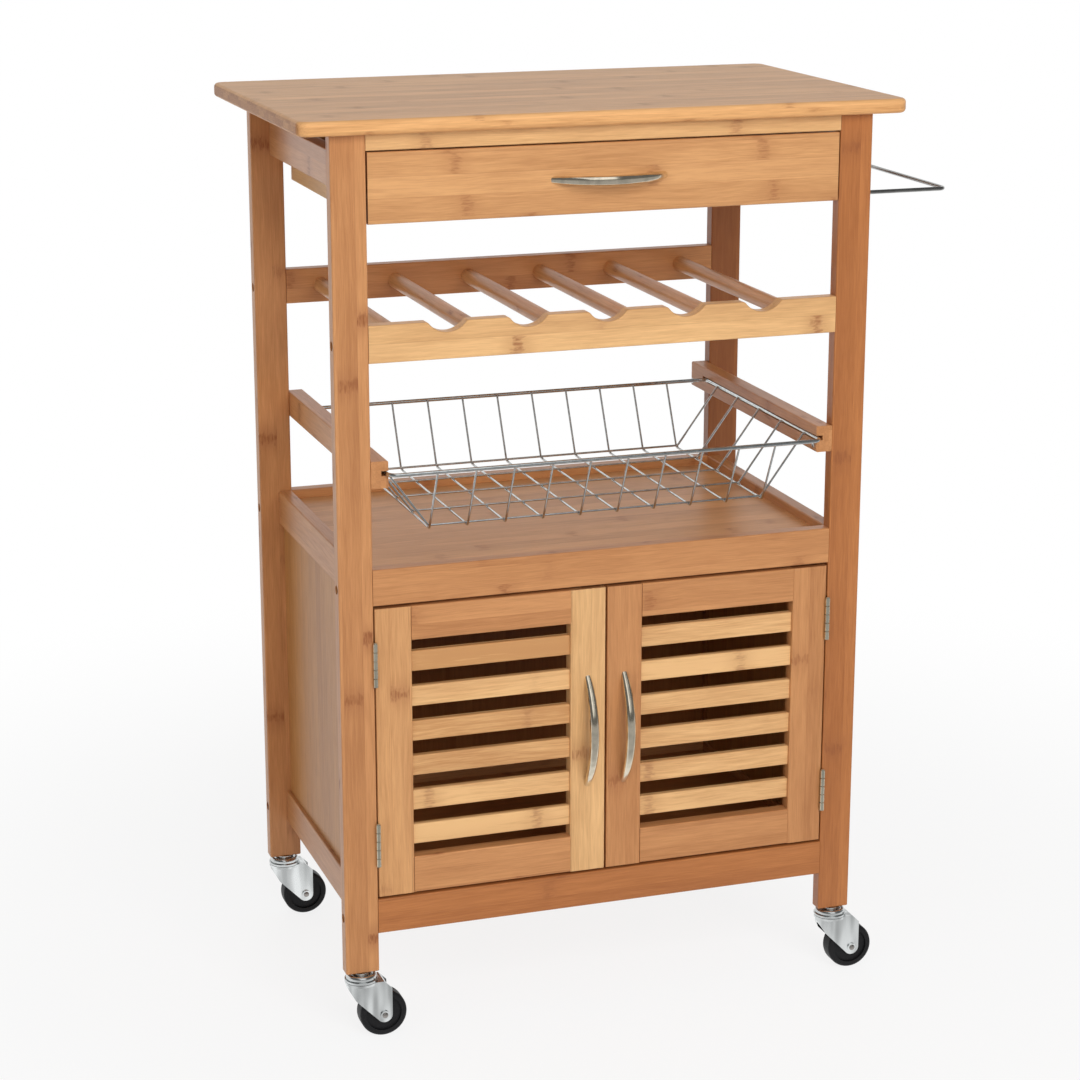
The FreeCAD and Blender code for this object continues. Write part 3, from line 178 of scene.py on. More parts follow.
class BambooLooks(bpy.types.PropertyGroup):
    """Colours and pattern of the laminated bamboo boards."""

    strip_width: FloatProperty(
        name="Strip width", description="Width of one bamboo strip in a board",
        default=0.0196, min=0.004, max=0.06, unit="LENGTH")
    layer_height: FloatProperty(
        name="Layer", description="Thickness of one glued layer of strips",
        default=0.0052, min=0.002, max=0.03, unit="LENGTH")
    slat_pitch: FloatProperty(
        name="Slat pitch", description="Distance from one door slat to the next",
        default=0.0358, min=0.01, max=0.1, unit="LENGTH")
    slat_margin: FloatProperty(
        name="Slat margin", description="How far under a door slat its own strip starts",
        default=0.0076, min=0.0, max=0.05, unit="LENGTH")
    joint_spacing: FloatProperty(
        name="Cane joints", description="Distance from one joint of the cane to the next",
        default=0.31, min=0.1, max=0.6, unit="LENGTH")
    straw: FloatVectorProperty(
        name="Worktop", description="Mean colour of the worktop",
        subtype="COLOR", size=3, min=0.0, max=1.0, default=(0.74, 0.41, 0.175))
    pale: FloatVectorProperty(
        name="Pale boards", description="Mean colour of the palest boards",
        subtype="COLOR", size=3, min=0.0, max=1.0, default=(0.72, 0.435, 0.195))
    honey: FloatVectorProperty(
        name="Honey boards", description="Mean colour of the light golden boards",
        subtype="COLOR", size=3, min=0.0, max=1.0, default=(0.62, 0.325, 0.135))
    amber: FloatVectorProperty(
        name="Amber boards", description="Mean colour of the middle brown boards",
        subtype="COLOR", size=3, min=0.0, max=1.0, default=(0.545, 0.255, 0.10))
    russet: FloatVectorProperty(
        name="Russet boards", description="Mean colour of the reddish boards",
        subtype="COLOR", size=3, min=0.0, max=1.0, default=(0.45, 0.17, 0.052))
    # Painted shade: this umber tone darkens the rear right leg and the back panel in place of the shade
    # that falls on them.
    shaded_umber: FloatVectorProperty(
        name="Umber boards", description="Mean colour of the boards of smoked cane",
        subtype="COLOR", size=3, min=0.0, max=1.0, default=(0.33, 0.122, 0.038))
    veneer: FloatVectorProperty(
        name="Thin panels", description="Mean colour of the side panels",
        subtype="COLOR", size=3, min=0.0, max=1.0, default=(0.50, 0.237, 0.076))
    cane_joint: FloatVectorProperty(
        name="Cane joint", description="Colour of the brown marks at the joints of the cane",
        subtype="COLOR", size=3, min=0.0, max=1.0, default=(0.30, 0.098, 0.032))


class MetalLooks(bpy.types.PropertyGroup):
    """Colours of the plated metal and the plastic pieces."""

    nickel: FloatVectorProperty(
        name="Satin nickel", description="Colour of the bow handles",
        subtype="COLOR", size=3, min=0.0, max=1.0, default=(0.78, 0.71, 0.57))
    chrome: FloatVectorProperty(
        name="Chrome", description="Colour of the basket wires and their welds",
        subtype="COLOR", size=3, min=0.0, max=1.0, default=(0.60, 0.63, 0.63))
    # Painted reflection: the towel rail is the same chrome as the basket, darkened to stand in for the dim
    # room that it mirrors.
    rail: FloatVectorProperty(
        name="Towel rail", description="Colour of the towel rail",
        subtype="COLOR", size=3, min=0.0, max=1.0, default=(0.36, 0.36, 0.35))
    zinc: FloatVectorProperty(
        name="Zinc", description="Colour of the caster forks, stems and races, and of most screws",
        subtype="COLOR", size=3, min=0.0, max=1.0, default=(0.62, 0.64, 0.64))
    hinge: FloatVectorProperty(
        name="Hinges", description="Colour of the hinges, their screws and the catch plates",
        subtype="COLOR", size=3, min=0.0, max=1.0, default=(0.70, 0.66, 0.53))
    bolt: FloatVectorProperty(
        name="Bolts", description="Colour of the frame bolts and the axle rivets",
        subtype="COLOR", size=3, min=0.0, max=1.0, default=(0.34, 0.32, 0.30))
    wheel: FloatVectorProperty(
        name="Wheels", description="Colour of the caster wheels",
        subtype="COLOR", size=3, min=0.0, max=1.0, default=(0.011, 0.011, 0.012))
    catch: FloatVectorProperty(
        name="Catch", description="Colour of the moulded door catch",
        subtype="COLOR", size=3, min=0.0, max=1.0, default=(0.16, 0.075, 0.035))


class FixingSizes(bpy.types.PropertyGroup):
    """Sizes of the screws, bolts and welds, and of what they sit on."""

    hinge_length: FloatProperty(
        name="Hinge length", description="Length of one hinge leaf",
        default=0.0445, min=0.02, max=0.1, unit="LENGTH")
    hinge_gap: FloatProperty(
        name="Hinge gap", description="Gap between the two leaves of a closed hinge",
        default=0.0012, min=0.0005, max=0.005, unit="LENGTH")
    hinge_screw_inset: FloatProperty(
        name="Hinge screw inset", description="How far the hinge screws sit behind the door's face",
        default=0.006, min=0.003, max=0.02, unit="LENGTH")
    hinge_screw_margin: FloatProperty(
        name="Hinge screw margin", description="Distance from the end of a hinge leaf to its first screw",
        default=0.0075, min=0.003, max=0.03, unit="LENGTH")
    handle_screws: FloatProperty(
        name="Handle screws", description="Distance between a handle's two screws",
        default=0.1025, min=0.05, max=0.2, unit="LENGTH")
    catch_screw_inset: FloatProperty(
        name="Catch screw inset", description="Distance from each side of the door catch to its screw",
        default=0.013, min=0.003, max=0.05, unit="LENGTH")
    catch_screw_lift: FloatProperty(
        name="Catch screw lift", description="Height of the screws over the door catch's underside",
        default=0.022, min=0.003, max=0.05, unit="LENGTH")
    runner_width: FloatProperty(
        name="Runner width", description="Width of a basket runner",
        default=0.017, min=0.01, max=0.04, unit="LENGTH")
    runner_screw_lift: FloatProperty(
        name="Runner screw lift", description="Height of the screws over a runner's underside",
        default=0.0055, min=0.003, max=0.03, unit="LENGTH")
    basket_wire: FloatProperty(
        name="Basket wire", description="Thickness of the basket's thin wires",
        default=0.0022, min=0.001, max=0.006, unit="LENGTH")
    weld_drop: FloatProperty(
        name="Weld drop", description="How far the welds on the rim lie under the rim's middle",
        default=0.0004, min=0.0, max=0.003, unit="LENGTH")
    axle_end: FloatProperty(
        name="Axle end", description="Distance from the wheel's middle to the end of its axle",
        default=0.0137, min=0.005, max=0.04, unit="LENGTH")
    race_ring: FloatProperty(
        name="Race ring", description="Width of the ring on a caster's upper race, at its section's middle",
        default=0.0256, min=0.01, max=0.06, unit="LENGTH")
    race_drop: FloatProperty(
        name="Race drop", description="How far the middle of the race's ring lies under the leg",
        default=0.0046, min=0.001, max=0.02, unit="LENGTH")


# Node building

def feed(tree, socket, value):
    """Links a socket to the value when that is an output, and otherwise sets it."""
    if isinstance(value, bpy.types.NodeSocket):
        tree.links.new(value, socket)
    else:
        socket.default_value = value


def add(tree, kind, inputs=None, **settings):
    """Adds one node with its settings and its inputs, given by name or place."""
    node = tree.nodes.new(kind)
    for key, value in settings.items():
        setattr(node, key, value)
    for key, value in (inputs or {}).items():
        feed(tree, node.inputs[key], value)
    return node


def calc(tree, operation, *values):
    """One step of arithmetic on numbers or outputs."""
    node = tree.nodes.new("ShaderNodeMath")
    node.operation = operation
    for socket, value in zip(node.inputs, values):
        feed(tree, socket, value)
    return node.outputs[0]


def ramp(tree, value, low, high, start=0.0, end=1.0):
    """A smooth step of a value from low to high, out to start and end."""
    node = add(tree, "ShaderNodeMapRange", interpolation_type="SMOOTHSTEP")
    for socket, number in zip(node.inputs, (value, low, high, start, end)):
        feed(tree, socket, number)
    return node.outputs["Result"]


def noise(tree, spot, scale, detail=2.0, roughness=0.5):
    """The height of a cloud pattern."""
    made = add(tree, "ShaderNodeTexNoise", {
        "Vector": spot, "Scale": scale, "Detail": detail, "Roughness": roughness})
    return made.outputs["Fac"]


def blend(tree, amount, first, second):
    """Two colours mixed by an amount."""
    node = add(tree, "ShaderNodeMix", data_type="RGBA")
    feed(tree, node.inputs["Factor"], amount)
    feed(tree, node.inputs["A"], first)
    feed(tree, node.inputs["B"], second)
    return node.outputs["Result"]


def vector(tree, x, y, z):
    """Three numbers or outputs as one vector."""
    return add(tree, "ShaderNodeCombineXYZ", {"X": x, "Y": y, "Z": z}).outputs[0]


def parts(tree, spot):
    """The three numbers of a vector, by axis."""
    return add(tree, "ShaderNodeSeparateXYZ", {"Vector": spot}).outputs


def shade(colour, factor=1.0):
    """A colour made lighter or darker, as red, green, blue and alpha."""
    return (*(min(1.0, channel * factor) for channel in colour), 1.0)


def new_material(name):
    """A material with its tree, its shader and the object's own coordinates."""
    material = bpy.data.materials.new(name)
    material.use_nodes = True
    tree = material.node_tree
    shader = tree.nodes["Principled BSDF"]
    place = tree.nodes.new("ShaderNodeTexCoord")
    return material, tree, shader, place


def raise_surface(tree, shader, height, strength, distance):
    """Bumps a shader's surface by a height pattern."""
    bump = add(tree, "ShaderNodeBump", {
        "Height": height, "Strength": strength, "Distance": distance})
    feed(tree, shader.inputs["Normal"], bump.outputs["Normal"])


def dress(name, material):
    """Gives a CAD node its finish."""
    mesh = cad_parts[name].data
    mesh.materials.clear()
    mesh.materials.append(material)


# Laminated bamboo

def pattern_sockets(tree):
    """Gives the bamboo pattern its inputs and outputs."""
    for name in ("Along", "Across", "Depth", "End", "Seed", "Strip width", "Layer", "Stagger", "Variety",
                 "Joint spacing", "Joint strength"):
        tree.interface.new_socket(name, in_out="INPUT", socket_type="NodeSocketFloat")
    for name in ("Light strip", "Dark strip", "Cane joint"):
        tree.interface.new_socket(name, in_out="INPUT", socket_type="NodeSocketColor")
    tree.interface.new_socket("Color", in_out="OUTPUT", socket_type="NodeSocketColor")
    tree.interface.new_socket("Height", in_out="OUTPUT", socket_type="NodeSocketFloat")
    tree.interface.new_socket("Roughness", in_out="OUTPUT", socket_type="NodeSocketFloat")
    return tree.nodes.new("NodeGroupInput").outputs


def strips(tree, given):
    """Strips in glued layers: the place across them in strip widths, and chances of each strip's own."""
    layers = calc(tree, "DIVIDE", given["Depth"], given["Layer"])
    layer = calc(tree, "FLOOR", calc(tree, "ADD", layers, given["Seed"]))
    shift = calc(tree, "MULTIPLY_ADD", layer, given["Stagger"], given["Seed"])
    place = calc(tree, "ADD", calc(tree, "DIVIDE", given["Across"], given["Strip width"]), shift)
    strip = calc(tree, "FLOOR", place)
    chance = add(tree, "ShaderNodeTexWhiteNoise", {"Vector": vector(tree, strip, layer, given["Seed"])})
    tint = add(tree, "ShaderNodeSeparateColor", {"Color": chance.outputs["Color"]}).outputs
    return place, tint


def fibres(tree, given, tint):
    """A maker of streaks, which run along a strip, start afresh in each one and wander a little."""
    fresh = calc(tree, "MULTIPLY", tint["Green"], FRESH_START)
    long, wide = BENDS
    run = calc(tree, "MULTIPLY_ADD", given["Along"], long, fresh)
    side = calc(tree, "MULTIPLY", given["Across"], wide)
    bend = noise(tree, vector(tree, run, side, given["Seed"]), scale=1.0)
    wander = calc(tree, "MULTIPLY_ADD", calc(tree, "SUBTRACT", bend, 0.5), BEND_SWAY, given["Across"])

    def streaks(length, width, detail):
        """Streaks with that many changes per metre along and across the strip."""
        run = calc(tree, "MULTIPLY_ADD", given["Along"], length, fresh)
        side = calc(tree, "MULTIPLY", wander, width)
        deep = calc(tree, "MULTIPLY", given["Depth"], width)
        return noise(tree, vector(tree, run, side, deep), scale=1.0, detail=detail, roughness=0.6)

    return streaks


def cane_joints(tree, given, tint, streaks):
    """One brown mark in each strip at every joint of the cane, drawn out along the fibres, and its halo."""
    spacing = given["Joint spacing"]
    turn = calc(tree, "ADD", calc(tree, "DIVIDE", given["Along"], spacing), tint["Red"])
    away = calc(tree, "MULTIPLY", calc(tree, "SUBTRACT", calc(tree, "FRACT", turn), 0.5), spacing)
    ragged = calc(tree, "SUBTRACT", streaks(*RAGGED), 0.5)
    uneven = calc(tree, "MULTIPLY_ADD", ragged, MARK_STRAY, away)
    mark = ramp(tree, calc(tree, "ABSOLUTE", uneven), *MARK_REACH)
    fleck = ramp(tree, streaks(*FLECKED), low=0.36, high=0.64, start=0.25)
    some = ramp(tree, tint["Green"], low=0.1, high=0.8, start=0.15)
    bold = calc(tree, "MULTIPLY", some, given["Joint strength"])
    joint = calc(tree, "MULTIPLY", calc(tree, "MULTIPLY", mark, fleck), bold)
    soft = ramp(tree, calc(tree, "ABSOLUTE", away), *HALO_REACH, end=HALO_TONE)
    halo = calc(tree, "MULTIPLY", soft, bold)
    return joint, halo


def cut_ends(tree, given, tint):
    """Cut ends, which show the fibre bundles as dots."""
    long, wide = END_DOTS
    run = calc(tree, "MULTIPLY", given["Along"], long)
    side = calc(tree, "MULTIPLY", given["Across"], wide)
    deep = calc(tree, "MULTIPLY", given["Depth"], wide)
    dots = noise(tree, vector(tree, run, side, deep), scale=1.0, detail=1.0)
    # Each strip's end is a little darker or lighter than the next
    block = calc(tree, "MULTIPLY_ADD", tint["Green"], 0.35, -0.1)
    cut = calc(tree, "ADD", ramp(tree, dots, low=0.35, high=0.65, start=0.3, end=0.7), block)
    return calc(tree, "MULTIPLY", given["End"], cut)


def bamboo_pattern():
    """Strips glued side by side in layers, with fibres and the brown marks of the cane's joints."""
    tree = bpy.data.node_groups.new("Laminated bamboo", "ShaderNodeTree")
    given = pattern_sockets(tree)
    place, tint = strips(tree, given)
    streaks = fibres(tree, given, tint)
    fine = streaks(*FINE)
    broad = streaks(*BROAD)
    cloudy = streaks(*CLOUDY)
    warm = ramp(tree, streaks(*WARM), low=0.42, high=0.78, end=0.2)
    joint, halo = cane_joints(tree, given, tint, streaks)

    # The glue line between two strips
    edge = calc(tree, "ABSOLUTE", calc(tree, "SUBTRACT", calc(tree, "FRACT", place), 0.5))
    seam = ramp(tree, edge, *GLUE_REACH)
    glue = calc(tree, "MULTIPLY", seam, GLUE_TONE)

    # Each strip has a tone of its own, which its fibres vary
    weight = calc(tree, "MULTIPLY_ADD", calc(tree, "SUBTRACT", tint["Blue"], 0.5), given["Variety"], 0.5)
    for pattern, share in ((cloudy, 1.0), (broad, 1.3), (fine, 1.5)):
        weight = calc(tree, "MULTIPLY_ADD", calc(tree, "SUBTRACT", pattern, 0.5), share, weight)
    colour = blend(tree, weight, given["Light strip"], given["Dark strip"])
    for amount in (warm, halo, joint, glue, cut_ends(tree, given, tint)):
        colour = blend(tree, amount, colour, given["Cane joint"])

    # Glue lines and brown marks lie lower than the fibres, and the marks are a little rougher
    height = calc(tree, "MULTIPLY_ADD", seam, -0.6, fine)
    height = calc(tree, "MULTIPLY_ADD", joint, -0.5, height)
    rough = calc(tree, "MULTIPLY_ADD", fine, 0.16, 0.30)
    rough = calc(tree, "MULTIPLY_ADD", joint, 0.08, rough)
    out = tree.nodes.new("NodeGroupOutput").inputs
    feed(tree, out["Color"], colour)
    feed(tree, out["Height"], height)
    feed(tree, out["Roughness"], rough)
    return tree


def bamboo_board(name, pattern, looks, grain, seed):
    """The finish of one board, with its strips along the board. Each slat is one strip of its own."""
    along, across, tone = grain
    depth = (set(AXES) - {along, across}).pop()
    finish = FINISHES.get(name, BoardFinish())
    mean = getattr(looks, tone)
    strip = looks.strip_width
    start = 0.0
    if name in SLATS:
        strip = looks.slat_pitch
        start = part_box(name)[0][2] - looks.slat_margin
        seed = round(seed) + SLAT_SEED
    material, tree, shader, place = new_material("Bamboo " + name.replace("_", " "))
    spot = parts(tree, place.outputs["Object"])
    facing = parts(tree, place.outputs["Normal"])
    board = add(tree, "ShaderNodeGroup", node_tree=pattern)
    values = {
        "Along": spot[along],
        "Across": calc(tree, "SUBTRACT", spot[across], start),
        "Depth": spot[depth],
        "End": ramp(tree, calc(tree, "ABSOLUTE", facing[along]), low=0.75, high=0.95, end=finish.ends),
        "Seed": seed,
        "Strip width": strip,
        "Layer": looks.layer_height,
        "Stagger": finish.stagger,
        "Variety": finish.variety,
        "Joint strength": finish.joints,
        "Joint spacing": looks.joint_spacing,
        "Light strip": shade(mean, 1.16),
        "Dark strip": shade([channel * share for channel, share in zip(mean, finish.deep)]),
        "Cane joint": shade(looks.cane_joint),
    }
    for key, value in values.items():
        feed(tree, board.inputs[key], value)
    feed(tree, shader.inputs["Base Color"], board.outputs["Color"])
    feed(tree, shader.inputs["Roughness"], board.outputs["Roughness"])
    shader.inputs["Specular IOR Level"].default_value = finish.gloss
    shader.inputs["Coat Weight"].default_value = finish.coat
    shader.inputs["Coat Roughness"].default_value = 0.18
    raise_surface(tree, shader, board.outputs["Height"], strength=0.16, distance=0.0006)
    return material


class CABINET_OT_bamboo(bpy.types.Operator):
    """Finish every bamboo board with strips that follow its grain"""

    bl_idname = "cabinet.bamboo"
    bl_label = "Bamboo boards"

    def execute(self, context):
        looks = context.scene.cabinet_bamboo
        pattern = bamboo_pattern()
        for place, (name, grain) in enumerate(BOARDS.items()):
            seed = FIRST_SEED + SEED_STEP * place
            dress(name, bamboo_board(name, pattern, looks, grain, seed))
        return {"FINISHED"}


# Metal and plastic

def plated_metal(name, colour, rough, spread, scale, stretch=(1.0, 1.0, 1.0), plating_and_reflection_bands=0.1):
    """Plated metal with faint polishing marks, uneven gloss and soft lighter and darker stripes in its
    colour, which are partly uneven plating and partly painted reflection of mirrored light.
    """
    material, tree, shader, place = new_material(name)
    drawn = add(tree, "ShaderNodeMapping", {"Vector": place.outputs["Object"], "Scale": stretch})
    marks = noise(tree, drawn.outputs[0], scale, detail=3.0, roughness=0.6)
    cloud = ramp(tree, noise(tree, drawn.outputs[0], scale * 0.4, detail=1.0), low=0.3, high=0.7)
    gloss = calc(tree, "MULTIPLY_ADD", marks, spread, rough)
    feed(tree, shader.inputs["Roughness"], gloss)
    # Partly painted reflection: the cloud mixes lighter and darker copies of the colour into soft stripes
    # that also stand in for mirrored light.
    feed(tree, shader.inputs["Base Color"], blend(
        tree, cloud, shade(colour, 1.0 - plating_and_reflection_bands), shade(colour, 1.0 + plating_and_reflection_bands)))
    shader.inputs["Metallic"].default_value = 1.0
    raise_surface(tree, shader, marks, strength=0.02, distance=0.00005)
    return material


def moulded_plastic(name, colour, rough):
    """Moulded plastic with a fine spark texture and a little dust."""
    material, tree, shader, place = new_material(name)
    grain = noise(tree, place.outputs["Object"], scale=2200.0)
    cloud = noise(tree, place.outputs["Object"], scale=70.0, detail=3.0, roughness=0.6)
    feed(tree, shader.inputs["Base Color"], blend(tree, cloud, shade(colour, 0.75), shade(colour, 1.35)))
    feed(tree, shader.inputs["Roughness"], calc(tree, "MULTIPLY_ADD", cloud, 0.2, rough))
    shader.inputs["Specular IOR Level"].default_value = 0.2
    raise_surface(tree, shader, grain, strength=0.1, distance=0.0001)
    return material


class CABINET_OT_metal(bpy.types.Operator):
    """Finish the handles, wires, hinges, casters and the catch"""

    bl_idname = "cabinet.metal"
    bl_label = "Metal and plastic"

    def execute(self, context):
        looks = context.scene.cabinet_metal
        upright = (1.0, 1.0, 0.2)
        nickel = plated_metal("Satin nickel", looks.nickel, rough=0.13, spread=0.03, scale=260.0)
        chrome = plated_metal("Bright chrome", looks.chrome, rough=0.08, spread=0.12, scale=500.0)
        # Painted reflection: the zinc's strong stripes run upright and stand in for the light stripes that
        # the bent forks mirror.
        zinc = plated_metal(
            "Zinc plate", looks.zinc, rough=0.2, spread=0.06, scale=240.0, stretch=upright, plating_and_reflection_bands=0.3)
        bright = plated_metal("Bright zinc", looks.zinc, rough=0.16, spread=0.06, scale=300.0)
        hinge = plated_metal(
            "Hinge plate", looks.hinge, rough=0.2, spread=0.08, scale=300.0, stretch=upright)
        bolt = plated_metal("Bolt steel", looks.bolt, rough=0.3, spread=0.2, scale=600.0)
        wheel = moulded_plastic("Wheel black", looks.wheel, rough=0.38)
        catch = moulded_plastic("Catch brown", looks.catch, rough=0.35)
        # Painted reflection: a darker copy of the chrome stands in for the dim room that the towel rail
        # mirrors.
        darkened = plated_metal("Smoked chrome", looks.rail, rough=0.1, spread=0.1, scale=500.0)
        dress("towel_rail", darkened)
        dress("caster_stems", bright)
        dress("frame_bolts", bolt)
        dress("door_catch", catch)
        for name in ("drawer_handle", "door_left_handle", "door_right_handle"):
            dress(name, nickel)
        for name in ("basket_rim", "basket_long_wires", "basket_cross_wires"):
            dress(name, chrome)
        for name in ("frame_hinges", "door_left_hinge_leaves", "door_right_hinge_leaves",
                     "door_left_strike", "door_right_strike"):
            dress(name, hinge)
        for corner in CORNERS:
            dress("caster_fork_" + corner, zinc)
            dress("caster_wheel_" + corner, wheel)
        return {"FINISHED"}


# Screws, bolts, rivets and welds

def new_tree(name, sizes):
    """A geometry tree that takes points, named sizes in metres, a seed and a finish."""
    tree = bpy.data.node_groups.new(name, "GeometryNodeTree")
    tree.interface.new_socket("Points", in_out="INPUT", socket_type="NodeSocketGeometry")
    for label, size in sizes.items():
        socket = tree.interface.new_socket(label, in_out="INPUT", socket_type="NodeSocketFloat")
        socket.default_value = size
    tree.interface.new_socket("Seed", in_out="INPUT", socket_type="NodeSocketInt")
    tree.interface.new_socket("Finish", in_out="INPUT", socket_type="NodeSocketMaterial")
    tree.interface.new_socket("Mesh", in_out="OUTPUT", socket_type="NodeSocketGeometry")
    return tree, tree.nodes.new("NodeGroupInput").outputs


def repeat(tree, given, shape):
    """Sets a shape on every point, facing as the point says and spun by chance, as one mesh."""
    facing = add(tree, "GeometryNodeInputNamedAttribute", {"Name": "facing"}, data_type="FLOAT_VECTOR")
    upright = add(tree, "FunctionNodeAlignRotationToVector", {"Vector": facing.outputs[0]}, axis="Z")
    chance = add(tree, "FunctionNodeRandomValue", {2: 0.0, 3: math.tau, "Seed": given["Seed"]})
    spin = add(tree, "FunctionNodeAxisAngleToRotation", {"Axis": UP, "Angle": chance.outputs[1]})
    turned = add(tree, "FunctionNodeRotateRotation", {
        "Rotation": upright.outputs[0], "Rotate By": spin.outputs[0]}, rotation_space="LOCAL")
    placed = add(tree, "GeometryNodeInstanceOnPoints", {
        "Points": given["Points"], "Instance": shape, "Rotation": turned.outputs[0]})
    real = add(tree, "GeometryNodeRealizeInstances", {"Geometry": placed.outputs[0]})
    painted = add(tree, "GeometryNodeSetMaterial", {
        "Geometry": real.outputs[0], "Material": given["Finish"]})
    feed(tree, tree.nodes.new("NodeGroupOutput").inputs[0], painted.outputs[0])
    return tree


def cut_mesh(tree, first, second, operation):
    """Two closed meshes cut from each other or kept where they meet."""
    node = add(tree, "GeometryNodeMeshBoolean", operation=operation, solver="EXACT")
    tree.links.new(first, node.inputs["Mesh 1" if operation == "DIFFERENCE" else "Mesh 2"])
    tree.links.new(second, node.inputs["Mesh 2"])
    return node.outputs["Mesh"]


def domed_head(tree, width, height):
    """A low dome that stands on its flat side: a ball pressed flat, with its lower half cut away."""
    half = calc(tree, "MULTIPLY", width, 0.5)
    double = calc(tree, "MULTIPLY", width, 2.0)
    ball = add(tree, "GeometryNodeMeshUVSphere", {"Segments": 24, "Rings": 12, "Radius": 1.0})
    flat = add(tree, "GeometryNodeTransform", {
        "Geometry": ball.outputs["Mesh"], "Scale": vector(tree, half, half, height)})
    slab = add(tree, "GeometryNodeMeshCube", {"Size": vector(tree, double, double, height)})
    raised = add(tree, "GeometryNodeTransform", {
        "Geometry": slab.outputs["Mesh"],
        "Translation": vector(tree, 0.0, 0.0, calc(tree, "MULTIPLY", height, 0.5))})
    return cut_mesh(tree, flat.outputs[0], raised.outputs[0], "INTERSECT")


def cross_screw():
    """A domed screw head with a cross recess over a little more than half its width."""
    tree, given = new_tree("Cross screw", {
        "Head width": 0.007, "Head height": 0.0018, "Slot width": 0.0011, "Slot depth": 0.0009})
    head = domed_head(tree, given["Head width"], given["Head height"])
    reach = calc(tree, "MULTIPLY", given["Head width"], 0.62)
    deep = calc(tree, "MULTIPLY", given["Slot depth"], 2.0)
    for sides in ((reach, given["Slot width"]), (given["Slot width"], reach)):
        bar = add(tree, "GeometryNodeMeshCube", {"Size": vector(tree, *sides, deep)})
        sunk = add(tree, "GeometryNodeTransform", {
            "Geometry": bar.outputs["Mesh"], "Translation": vector(tree, 0.0, 0.0, given["Head height"])})
        head = cut_mesh(tree, head, sunk.outputs[0], "DIFFERENCE")
    return repeat(tree, given, head)


def socket_bolt():
    """The top of a bolt head with a bevelled rim and a six-sided socket, measured over its flats."""
    tree, given = new_tree("Socket bolt", {
        "Head width": 0.009, "Head height": 0.0022, "Socket width": 0.0046})
    half = calc(tree, "MULTIPLY", given["Head width"], 0.5)
    head = add(tree, "GeometryNodeMeshCone", {
        "Vertices": 32, "Radius Bottom": half, "Depth": given["Head height"],
        "Radius Top": calc(tree, "MULTIPLY", half, 0.9)})
    corner = calc(tree, "MULTIPLY", given["Socket width"], 0.577)
    key = add(tree, "GeometryNodeMeshCylinder", {"Vertices": 6, "Radius": corner, "Depth": 0.02})
    return repeat(tree, given, cut_mesh(tree, head.outputs["Mesh"], key.outputs["Mesh"], "DIFFERENCE"))


def dome_rivet():
    """A plain low dome."""
    tree, given = new_tree("Dome rivet", {"Head width": 0.006, "Head height": 0.0012})
    return repeat(tree, given, domed_head(tree, given["Head width"], given["Head height"]))


def weld_bead():
    """A small flattened bead of metal where two wires are welded."""
    tree, given = new_tree("Weld bead", {"Bead width": 0.0032, "Bead height": 0.0022})
    ball = add(tree, "GeometryNodeMeshIcoSphere", {"Radius": 0.5, "Subdivisions": 2})
    narrow = calc(tree, "MULTIPLY", given["Bead width"], 0.8)
    size = vector(tree, given["Bead width"], narrow, given["Bead height"])
    bead = add(tree, "GeometryNodeTransform", {"Geometry": ball.outputs["Mesh"], "Scale": size})
    return repeat(tree, given, bead.outputs[0])


def race_ring():
    """A ring swept from a round section."""
    tree, given = new_tree("Race ring", {"Ring width": 0.0256, "Section width": 0.0052})
    wide = calc(tree, "MULTIPLY", given["Ring width"], 0.5)
    thick = calc(tree, "MULTIPLY", given["Section width"], 0.5)
    path = add(tree, "GeometryNodeCurvePrimitiveCircle", {"Resolution": 72, "Radius": wide})
    section = add(tree, "GeometryNodeCurvePrimitiveCircle", {"Resolution": 24, "Radius": thick})
    ring = add(tree, "GeometryNodeCurveToMesh", {
        "Curve": path.outputs["Curve"], "Profile Curve": section.outputs["Curve"]})
    return repeat(tree, given, ring.outputs["Mesh"])


def grow(name, body, slot, tree, places, **values):
    """Runs a tree on points and their facings, and keeps the result as one plain mesh on a body."""
    mesh = bpy.data.meshes.new(name)
    mesh.from_pydata([spot for spot, facing in places], [], [])
    ways = mesh.attributes.new("facing", "FLOAT_VECTOR", "POINT")
    for item, (spot, facing) in zip(ways.data, places):
        item.vector = facing
    piece = bpy.data.objects.new(name, mesh)
    bpy.context.scene.collection.objects.link(piece)
    modifier = piece.modifiers.new(name, "NODES")
    modifier.node_group = tree
    for item in tree.interface.items_tree:
        key = item.name.lower().replace(" ", "_")
        if item.in_out == "INPUT" and key in values:
            modifier[item.identifier] = values[key]
    graph = bpy.context.evaluated_depsgraph_get()
    result = bpy.data.meshes.new_from_object(piece.evaluated_get(graph), depsgraph=graph)
    if not result.polygons:
        raise RuntimeError(name + " has no faces")
    piece.modifiers.clear()
    piece.data = result
    result.shade_smooth()
    result.set_sharp_from_angle(angle=math.radians(32.0))
    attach(piece, body)


def middle(name, axis):
    """The middle of a CAD node along one axis."""
    low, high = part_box(name)
    place = AXES.index(axis)
    return (low[place] + high[place]) / 2


def evenly(first, last, count):
    """Places at equal steps from first to last."""
    return [first + (last - first) * step / (count - 1) for step in range(count)]


class CABINET_OT_frame_bolts(bpy.types.Operator):
    """Set a socket on every frame bolt, deep in the holes of the legs"""

    bl_idname = "cabinet.frame_bolts"
    bl_label = "Frame bolts"

    def execute(self, context):
        low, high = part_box("frame_bolts")
        places = []
        for rail in ("bottom_front_rail", "tray_front_rail", "rack_dowels"):
            for leg in ("leg_front_left", "leg_rear_left"):
                y = middle(leg, "Y")
                z = middle(rail, "Z")
                places.append(((low[0], y, z), (-1.0, 0.0, 0.0)))
                places.append(((high[0], y, z), (1.0, 0.0, 0.0)))
        steel = bpy.data.materials["Bolt steel"]
        grow("bolt_sockets", "frame", "bolt_steel", socket_bolt(), places, seed=3, finish=steel)
        return {"FINISHED"}


